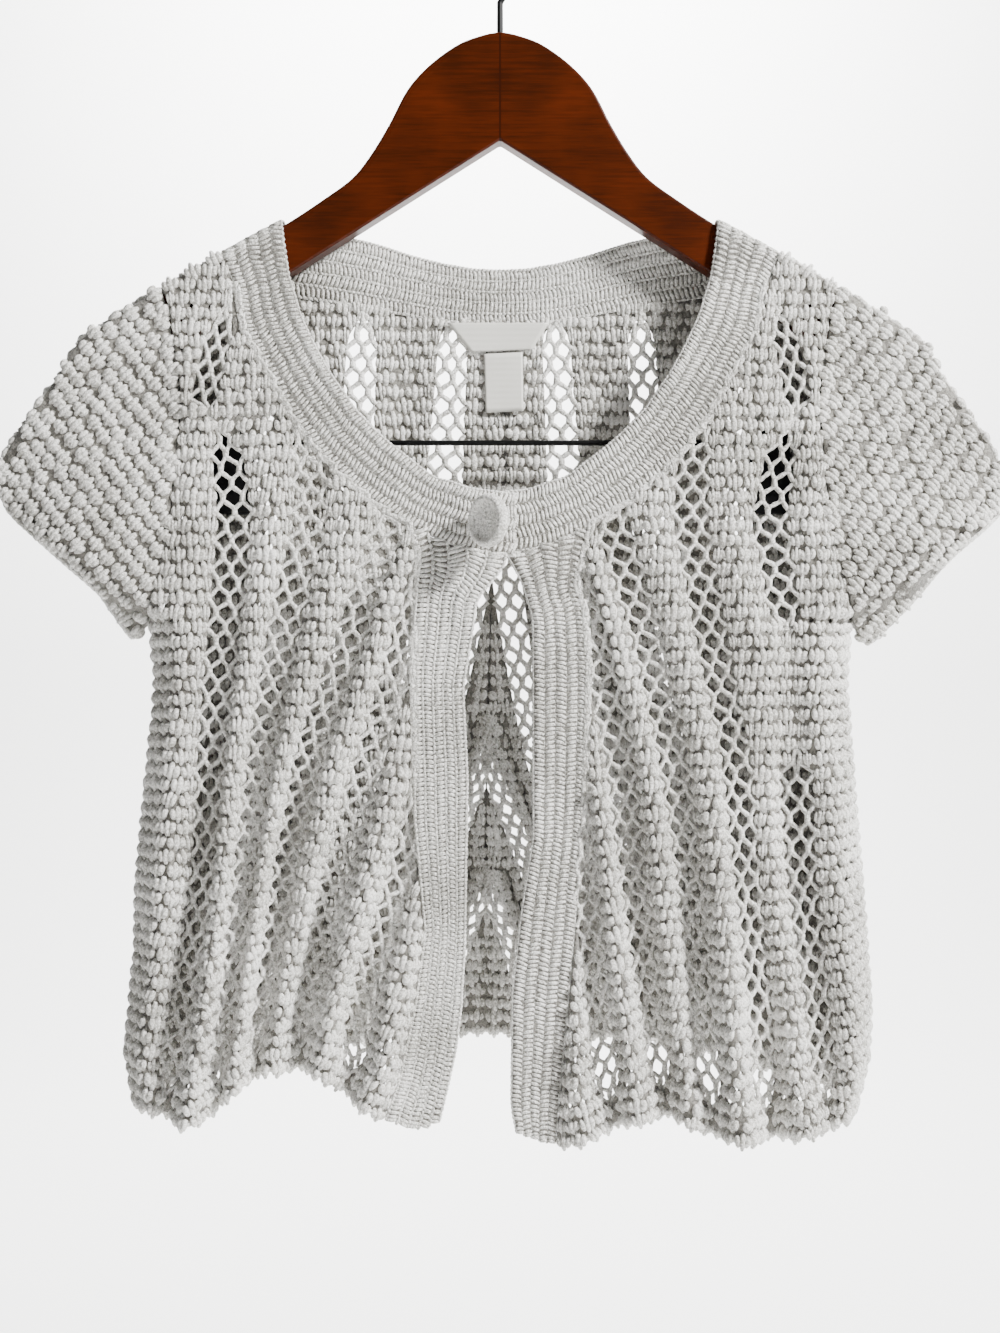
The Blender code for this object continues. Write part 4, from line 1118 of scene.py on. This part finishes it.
def sleeve_clusters(side):
    """Fans in staggered rows that follow the sleeve's hem, on both halves."""
    grid = sleeve_grid(side, 8)
    flat = grid[..., :2].reshape(-1, 2)
    depth, width = grid.shape[:2]
    hem = np.array([(point.out, point.drop) for point in side.sleeve_hem])
    along = unit((hem[-1] - hem[0])[None])[0]
    inwards = np.array([along[1], -along[0]])
    if inwards[0] > 0:
        inwards = -inwards
    up = np.array([side.sign * inwards[0], 0.0, -inwards[1]])
    positions, turns, sizes = [], [], []
    for face in (-1, 1):
        surface = sleeve_surface(side, grid, face)
        for row in SLEEVE_FAN_ROWS:
            for column in SLEEVE_FAN_COLUMNS:
                across_hem = along * (column + 0.5 * (row % 2)) * CLUSTER_WIDTH
                spot = hem[0] + across_hem + inwards * (row + SLEEVE_ROW_START) * SLEEVE_ROW
                gaps = np.linalg.norm(flat - spot, axis=1)
                nearest = int(np.argmin(gaps))
                if gaps[nearest] > SLEEVE_MARGIN:
                    continue
                step, reach = divmod(nearest, width)
                step = min(max(step, 1), depth - 2)
                reach = min(max(reach, 1), width - 2)
                down = surface[step + 1, reach] - surface[step - 1, reach]
                outwards = surface[step, reach + 1] - surface[step, reach - 1]
                normal = unit(np.cross(down, outwards)[None])[0]
                if normal[1] * face < 0:
                    normal = -normal
                across = np.cross(up, normal)
                positions.append(surface[step, reach])
                turns.append(euler_turns(across[None], np.cross(normal, across)[None])[0])
                sizes.append((1.0, 1.0, 1.0))
    return positions, turns, sizes


def lap_y(out, start, toward):
    """Extra depth of a strip's end where the two fronts lap."""
    return toward * LAP * smooth((start - out) / LAP_RUN)


def neck_points(section, sign, face, lap_start=0.0, toward=0):
    """Middle-surface points across the neckband, from its outer edge to its inner edge."""
    shares = np.linspace(0, 1, 2 * RIBS + 1)
    out = section.outer_out + (section.inner_out - section.outer_out) * shares
    drop = section.outer_drop + (section.inner_drop - section.outer_drop) * shares
    y = 0.0 * out if face == 0 else cloth_y(sign * out, drop, 0.0, face)
    return place(sign * out, y + lap_y(out, lap_start, toward), drop)


def neck_half(side, face, lap_start=0.0, toward=0, end=None):
    """Sections of one front or back half of the neckband, from the shoulder to the middle."""
    over = NECK_FRONT[0]
    sections = [Section(over.outer_out, over.outer_drop + below, over.inner_out, over.inner_drop + below)
                for below in SHOULDER_ROWS[1:]]
    if face < 0:
        sections += [neck_section(NECK_FRONT, "outer_drop", drop)
                     for drop in row_drops() if drop < BAND_CORNER]
        middle = neck_section(NECK_FRONT, "outer_drop", (BAND_CORNER + NECK_FRONT[8].outer_drop) / 2)
        sections += [NECK_FRONT[7], middle, NECK_FRONT[8]]
        sections.append(Section(*[(a + b) / 2 for a, b in zip(NECK_FRONT[8], end)]))
        sections.append(end)
    else:
        sections += [neck_section(NECK_BACK, "outer_out", out)
                     for out in np.arange(NECK_BACK_START, NECK_BACK_END, -NECK_BACK_STEP)]
    return [neck_points(row, side.sign, face, lap_start, toward) for row in sections]


def neck_sections():
    """Sections of the whole neckband, from its right end over both shoulders to its left end."""
    shoulder = [neck_points(NECK_FRONT[0], side.sign, 0) for side in (RIGHT, LEFT)]
    sections = neck_half(RIGHT, -1, LAP_START_UPPER, -1, NECK_END_UPPER)[::-1]
    sections += [shoulder[0]] + neck_half(RIGHT, 1) + [neck_points(NECK_BACK[-1], 1, 1)]
    sections += neck_half(LEFT, 1)[::-1] + [shoulder[1]]
    return np.array(sections + neck_half(LEFT, -1, LAP_START_UNDER, 1, NECK_END_UNDER))


def neck_end_drop(out):
    """Lower edge of the neckband's front end, from the bands' corner past the middle line."""
    rows = [NECK_END_UPPER, NECK_FRONT[8], NECK_FRONT[7]]
    return np.interp(out, values(rows, "outer_out"), values(rows, "outer_drop"))


def band_sections(side, lap_start, toward):
    """Sections of one front band, from the neckband down to the hem."""
    sections = []
    shares = np.linspace(0, 1, 2 * RIBS + 1)
    for drop in [BAND_CORNER + 2 * SEAM] + [drop for drop in row_drops() if drop > BAND_CORNER + 5.0]:
        fade = max(0.0, 1.0 - (drop - BAND_CORNER) / BAND_SLANT_RUN)
        outer = read(side.band_outer, drop)
        inner = read(side.band_inner, drop + fade * (neck_end_drop(0.0) - BAND_CORNER))
        calm = 1.0 - smooth((drop - BAND_CORNER - BAND_CALM_START) / BAND_CALM_RUN)
        out = outer + (inner - outer) * shares
        low = drop + fade * (neck_end_drop(out) - BAND_CORNER)
        y = cloth_y(side.sign * out, low) + calm * lap_y(out, lap_start, toward)
        sections.append(place(side.sign * out, y, pulled(low, side.hem, np.abs(out))))
    return np.array(sections)


def spline(before, first, second, after, share):
    """A place between first and second, on a smooth curve through all four."""
    return 0.5 * (2 * first + (second - before) * share
                  + (2 * before - 5 * first + 4 * second - after) * share ** 2
                  + (3 * first - before - 3 * second + after) * share ** 3)


def resample(sections, spacing):
    """Evenly spaced sections along a strip, on smooth curves through the given ones."""
    middle = sections[:, sections.shape[1] // 2]
    run = np.concatenate([[0.0], np.cumsum(np.linalg.norm(np.diff(middle, axis=0), axis=1))]) * 1000
    count = max(2, int(round(run[-1] / spacing)) + 1)
    result = []
    for station in np.linspace(0, run[-1], count):
        low = min(max(int(np.searchsorted(run, station)) - 1, 0), len(run) - 2)
        share = (station - run[low]) / max(run[low + 1] - run[low], 1e-6)
        before, after = sections[max(low - 1, 0)], sections[min(low + 2, len(run) - 1)]
        result.append(spline(before, sections[low], sections[low + 1], after, share))
    return np.array(result)


def strip_ground(name, sections, material):
    """A band's cloth: a thin strip under its stitches."""
    return cloth_through(name, resample(sections, STRIP_STEP), STRIP_WALL, material)


def strip_stitches(sections, posts):
    """Posts in the middle of each rib, leaning in turn, or chain links along the ribs' edges."""
    rows = resample(sections, STITCH_WIDTH)
    along = np.gradient(rows, axis=0)
    sideways = np.gradient(rows, axis=1)
    positions, turns, sizes = [], [], []
    for line in range(1 if posts else 0, rows.shape[1], 2):
        lean = 0.0
        if posts:
            lean = POST_LEAN if line % 4 == 1 else -POST_LEAN
        across = unit(along[:, line]) + lean * unit(sideways[:, line])
        heights = np.linalg.norm(sideways[:, line], axis=1) * 1000 / RIB_HALF
        positions += list(rows[:, line])
        turns += list(euler_turns(across, sideways[:, line]))
        sizes += [(1.0, height if posts else 1.0, 1.0) for height in heights]
    return positions, turns, sizes


def make_button(material):
    """Button worked over a ring: rounds of stitches on its face and radial ones over its rim."""
    run = np.linspace(0, len(BUTTON_PROFILE) - 1, BUTTON_RINGS)
    radii = np.interp(run, range(len(BUTTON_PROFILE)), values(BUTTON_PROFILE, "radius"))
    heights = np.interp(run, range(len(BUTTON_PROFILE)), values(BUTTON_PROFILE, "height"))
    points = [(0.0, 0.0, heights[0])]
    for radius, height in zip(radii[1:], heights[1:]):
        for step in range(BUTTON_SIDES):
            angle = 2 * math.pi * step / BUTTON_SIDES
            reach, raised = radius, height
            if radius > RIM_START and height > RIM_UNDERSIDE:
                relief = RIM_RELIEF * abs(math.sin(angle * RIM_STITCHES))
                reach, raised = radius + relief * 0.4, height + relief * 0.8
            elif height > 0:
                rounds = ROUND_RELIEF * math.cos(2 * math.pi * radius / ROUND_WIDTH) if radius > 1 else 0.0
                stitches = max(FACE_LEAST_STITCHES, round(radius * FACE_STITCHES))
                raised = height + rounds + FACE_RELIEF * math.cos(angle * stitches)
            points.append((reach * math.cos(angle), reach * math.sin(angle), raised))
    faces = [[0, 1 + step, 1 + (step + 1) % BUTTON_SIDES] for step in range(BUTTON_SIDES)]
    last = 1 + (len(radii) - 2) * BUTTON_SIDES
    for base in range(1, last, BUTTON_SIDES):
        for step in range(BUTTON_SIDES):
            after = (step + 1) % BUTTON_SIDES
            low = base + BUTTON_SIDES
            faces.append([base + step, low + step, low + after, base + after])
    faces.append([last + step for step in range(BUTTON_SIDES)])
    angle = math.radians(BUTTON_TURN)
    axis = Vector((-math.sin(angle), -math.cos(angle), 0.0))
    band_y = float(cloth_y(BUTTON_X, BUTTON_DROP)) - LAP - BAND_WALL / 2 - RIB_HEIGHT
    shank_tip_y = band_y - SEAM + RIM_UNDERSIDE * math.sin(angle)
    tip = Vector(place(BUTTON_X - axis.x * BUTTON_SHANK, shank_tip_y, BUTTON_DROP))
    turn = axis.to_track_quat("Z", "Y").to_matrix()
    middle = tip + axis * BUTTON_SHANK * 0.001
    mesh = new_mesh("button_cover", [middle + turn @ (Vector(point) * 0.001) for point in points], [], faces)
    turn_outwards(mesh)
    mesh.polygons.foreach_set("use_smooth", [True] * len(mesh.polygons))
    return new_object("button_cover", mesh, material)


def make_label(name, corners, curl, material):
    """A bare woven label: a thin satin sheet whose lower end curls away a little."""
    top_left, top_right, bottom_left, bottom_right = np.array(corners, dtype=float)
    rows = []
    for row in range(LABEL_DOWN + 1):
        share = row / LABEL_DOWN
        left = top_left + (bottom_left - top_left) * share
        right = top_right + (bottom_right - top_right) * share
        x, drop = (np.linspace(left[axis], right[axis], LABEL_ACROSS + 1) for axis in (0, 1))
        bow = LABEL_BOW * np.sin(np.linspace(0, math.pi, LABEL_ACROSS + 1))
        y = cloth_y(x, drop, 0.0, 1) - LABEL_STAND - bow * (1 - share) - curl * share ** 3
        rows.append(place(x, y, drop))
    return cloth_through(name, rows, LABEL_WALL, material)


def catmull(points, parts):
    """A smooth line through points, with this many parts to each."""
    points = [np.array(point, dtype=float) for point in points]
    result = []
    for index in range(len(points) - 1):
        before, after = points[max(index - 1, 0)], points[min(index + 2, len(points) - 1)]
        for part in range(parts):
            result.append(spline(before, points[index], points[index + 1], after, part / parts))
    return result + [points[-1]]


def make_wood_body(material):
    """The hanger's body: flat board sawn to a smooth outline, with rounded edges."""
    arm = [(point.out, point.drop) for point in WOOD]
    crown = catmull([(-arm[1][0], arm[1][1])] + arm[:-1], 5)[5:]
    half = crown + [arm[-1]]
    outline = half + [(-out, drop) for out, drop in half[-2:0:-1]]
    mesh = bpy.data.meshes.new("hanger_body")
    work = bmesh.new()
    points = [work.verts.new(place(out, -WOOD_THICKNESS / 2, drop)) for out, drop in outline]
    board = work.faces.new(points)
    grown = bmesh.ops.extrude_face_region(work, geom=[board])
    moved = [item for item in grown["geom"] if isinstance(item, bmesh.types.BMVert)]
    bmesh.ops.translate(work, verts=moved, vec=(0, WOOD_THICKNESS * 0.001, 0))
    bmesh.ops.recalc_face_normals(work, faces=work.faces)
    for face in work.faces:
        face.smooth = True
    work.to_mesh(mesh)
    work.free()
    obj = new_object("hanger_body", mesh, material)
    ease = obj.modifiers.new("ease", "BEVEL")
    ease.width = WOOD_BEVEL * 0.001
    ease.segments = 4
    ease.limit_method = "ANGLE"
    ease.angle_limit = math.radians(60)
    ease.harden_normals = True
    return obj


def make_camera():
    """A level camera at the photograph's place."""
    data = bpy.data.cameras.new("camera")
    data.sensor_fit = "HORIZONTAL"
    data.sensor_width = SENSOR
    data.lens = SENSOR * FOCAL_PIXELS / IMAGE_WIDTH
    camera = bpy.data.objects.new("camera", data)
    camera.location = (0.0, -CAMERA_DISTANCE, CAMERA_HEIGHT)
    camera.rotation_euler = (math.radians(90), 0.0, 0.0)
    bpy.context.scene.collection.objects.link(camera)
    bpy.context.scene.camera = camera


def make_light(name, location, target, size, power):
    data = bpy.data.lights.new(name, "AREA")
    data.shape = "DISK"
    data.size = size
    data.energy = power
    light = bpy.data.objects.new(name, data)
    light.location = location
    light.rotation_euler = (Vector(target) - Vector(location)).to_track_quat("-Z", "Y").to_euler()
    bpy.context.scene.collection.objects.link(light)


def make_studio():
    """A pale floor that curves up behind, a white sky and three soft lights."""
    world = bpy.data.worlds.new("studio")
    world.use_nodes = True
    sky = world.node_tree.nodes["Background"]
    sky.inputs["Color"].default_value = (1.0, 1.0, 1.0, 1.0)
    sky.inputs["Strength"].default_value = 0.1
    bpy.context.scene.world = world
    material = new_material("white_paper", Roughness=0.95, Base_Color=linear("#fbfbfa"))[0]
    profile = [(STUDIO_FRONT, 0.0), (STUDIO_DEPTH, 0.0)]
    for turn in np.linspace(0.1, math.pi / 2, 12):
        back, up = STUDIO_BEND * math.sin(turn), STUDIO_BEND - STUDIO_BEND * math.cos(turn)
        profile.append((STUDIO_DEPTH + back, up))
    profile.append((STUDIO_DEPTH + STUDIO_BEND, STUDIO_WALL))
    points = [(x, y, FLOOR_HEIGHT + z) for y, z in profile for x in (-STUDIO_HALF_WIDTH, STUDIO_HALF_WIDTH)]
    faces = [[2 * step, 2 * step + 1, 2 * step + 3, 2 * step + 2] for step in range(len(profile) - 1)]
    mesh = new_mesh("paper_floor", points, [], faces)
    mesh.polygons.foreach_set("use_smooth", [True] * len(mesh.polygons))
    new_object("paper_floor", mesh, material)
    for light in LIGHTS:
        make_light(*light)


def dress(piece, slot, *nodes):
    """Attach a piece to the frame's root body and hide the nodes it stands in for; slot is not used."""
    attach(piece, "root")
    if nodes:
        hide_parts(*nodes)


class Workbox:
    """The yarn and its darker copy, which is painted shade for the grounds under the stitches, the shapes of
    the stitches and the two geometry trees that set them.
    """

    def __init__(self):
        self.cotton = make_cotton("cotton_yarn", "#f3f1ec", "#a5a29a")
        # a darker copy of the same yarn: painted shade for the grounds between and under the stitches
        self.under = make_cotton("cotton_yarn_painted_shade", "#87847c", "#5c5953")
        self.stitch_tree = make_stitch_tree()
        self.yarn_tree = make_yarn_tree()
        self.fan = make_shape("fan", puff_shape(1.0, 5))
        self.plain_fan = make_shape("plain_fan", puff_shape(0.1, 4))
        self.post = make_shape("post", POST_STRANDS)
        self.link = make_shape("link", LINK_STRANDS, LINK_SIDES)

    def stitched(self, name, spots, shape, seed, turn_spread=TURN_SPREAD, size_spread=SIZE_SPREAD):
        """One shape set on every spot, as one piece of yarn."""
        return grow(name, point_mesh(name + "_points", *spots), self.stitch_tree, {
            "Stitch": shape, "Turn Spread": turn_spread, "Size Spread": size_spread, "Seed": seed,
            "Yarn": self.cotton})

    def knotted(self, name, net):
        """A net's lines, worked in yarn."""
        return grow(name, net.mesh(name + "_lines"), self.yarn_tree, {
            "Stitch Length": YARN_STEP * 0.001, "Swell": YARN_SWELL, "Sides": YARN_SIDES,
            "Yarn": self.cotton})

    def clear(self):
        """Take away the shapes, which are all set by now."""
        for shape in (self.fan, self.plain_fan, self.post, self.link):
            mesh = shape.data
            bpy.data.objects.remove(shape)
            bpy.data.meshes.remove(mesh)


def hang(node, cloth, worked):
    """Tell the frame a cloth panel that stands for a node, with what is worked on it."""
    dress(cloth, "cotton_crochet", node)
    for piece in worked:
        dress(piece, "cotton_crochet")


def add_shoulder(spots, sign, start, end):
    """Add the line of fans over the shoulder fold to a panel's own."""
    for kept, added in zip(spots, shoulder_clusters(sign, start, end)):
        kept.extend(added)
    return spots


def panel_lace(box, name, panel, seed):
    """A panel's lace columns and the yarn along its hem."""
    net = Net()
    lace(net, panel, seed)
    hem_yarn(net, panel)
    return box.knotted(name, net)


def make_front(box, name, side, seed):
    """One front, with its lace and the fans over its shoulder."""
    panel = Panel(-1, lambda drop: front_layout(side, drop), side.hem,
                  lambda out: shoulder_drop(out) + FOLD_OVER)
    armhole = side.sign * float(read(ARMHOLE, FIRST_ROW))
    split = side.sign * float(read(side.columns, FIRST_ROW, "lace_1"))
    shoulders = [(0, armhole, split), (1, split, side.sign * NECK_END_OUT)]
    # the ground is in the darker yarn copy, painted shade between the fans
    cloth = ground(name + "_ground", panel, shoulders, box.under)
    spots = add_shoulder(clusters(panel, lambda x: True), side.sign, NECK_END_OUT, abs(armhole))
    fans = box.stitched(name + "_clusters", spots, box.fan, seed)
    hang(name, cloth, [fans, panel_lace(box, name + "_lace", panel, seed)])


def make_back(box):
    """The back, in one piece; its plainer fans are in two halves, to keep each piece light."""
    panel = Panel(1, back_layout, HEM_BACK,
                  lambda out: back_top(out) + np.where(out < NECK_END_OUT, 0.0, FOLD_OVER))
    armhole = float(read(ARMHOLE, FIRST_ROW))
    shoulders = [(0, -armhole, -NECK_END_OUT), (LEFT_NUMBERS, armhole, NECK_END_OUT)]
    # the ground is in the darker yarn copy, painted shade between the fans
    cloth = ground("back_ground", panel, shoulders, box.under)
    fans = [box.stitched("back_clusters_right", clusters(panel, lambda x: x < 0), box.plain_fan, 21),
            box.stitched("back_clusters_left", clusters(panel, lambda x: x >= 0), box.plain_fan, 22)]
    hang("back", cloth, fans + [panel_lace(box, "back_lace", panel, 23)])


def make_sleeve(box, name, side, seed):
    """One sleeve, with its fans and the yarn along its hem."""
    # the ground is in the darker yarn copy, painted shade between the fans
    cloth = sleeve_ground(name + "_ground", side, box.under)
    spots = add_shoulder(sleeve_clusters(side), side.sign, float(read(ARMHOLE, FIRST_ROW)), SHOULDER_END)
    fans = box.stitched(name + "_clusters", spots, box.fan, seed)
    grid = sleeve_grid(side, 2)
    net = Net()
    net.strand(list(sleeve_surface(side, grid, -1)[:, -1]) + list(sleeve_surface(side, grid, 1)[::-1, -1]),
               EDGE_RADIUS)
    hang(name, cloth, [fans, box.knotted(name + "_edge", net)])


def make_strip(box, name, sections, seed):
    """The neckband or a front band: its cloth, the posts of its ribs and the links between them."""
    # the strip's ground is in the darker yarn copy, painted shade under the rib stitches
    cloth = strip_ground(name + "_ground", sections, box.under)
    posts = box.stitched(name + "_posts", strip_stitches(sections, True), box.post, seed,
                         RIB_TURN_SPREAD, RIB_SIZE_SPREAD)
    links = box.stitched(name + "_links", strip_stitches(sections, False), box.link, seed + 10,
                         RIB_TURN_SPREAD, RIB_SIZE_SPREAD)
    hang(name, cloth, [posts, links])


def main():
    make_camera()
    make_studio()
    box = Workbox()
    make_front(box, "right_front", RIGHT, 11)
    make_front(box, "left_front", LEFT, 12)
    make_back(box)
    make_sleeve(box, "right_sleeve", RIGHT, 31)
    make_sleeve(box, "left_sleeve", LEFT, 32)
    make_strip(box, "neckband", neck_sections(), 41)
    make_strip(box, "right_band", band_sections(RIGHT, LAP_START_UPPER, -1), 42)
    make_strip(box, "left_band", band_sections(LEFT, LAP_START_UNDER, 1), 43)
    dress(make_button(box.cotton), "cotton_crochet", "button")

    satin = make_satin()
    for label in LABELS:
        sheet = make_label(label.node + "_cloth", label.corners, label.curl, satin)
        dress(sheet, "satin_label", label.node)

    dress(make_wood_body(make_wood()), "varnished_wood", "hanger_wood")
    wire = make_black("enamelled_steel_wire", "#030303", 0.5, 0.0006, 0.0001)
    plastic = make_black("moulded_abs", "#121213", 0.48, 0.0009, 0.0002)
    bare = {"hook": wire, "hanger_bar": wire, "right_clip": plastic, "left_clip": plastic}
    for node, material in bare.items():
        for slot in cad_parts[node].material_slots:
            slot.material = material
    box.clear()


main()
start_cube = bpy.data.objects.get("Cube")
if start_cube:
    bpy.data.objects.remove(start_cube)
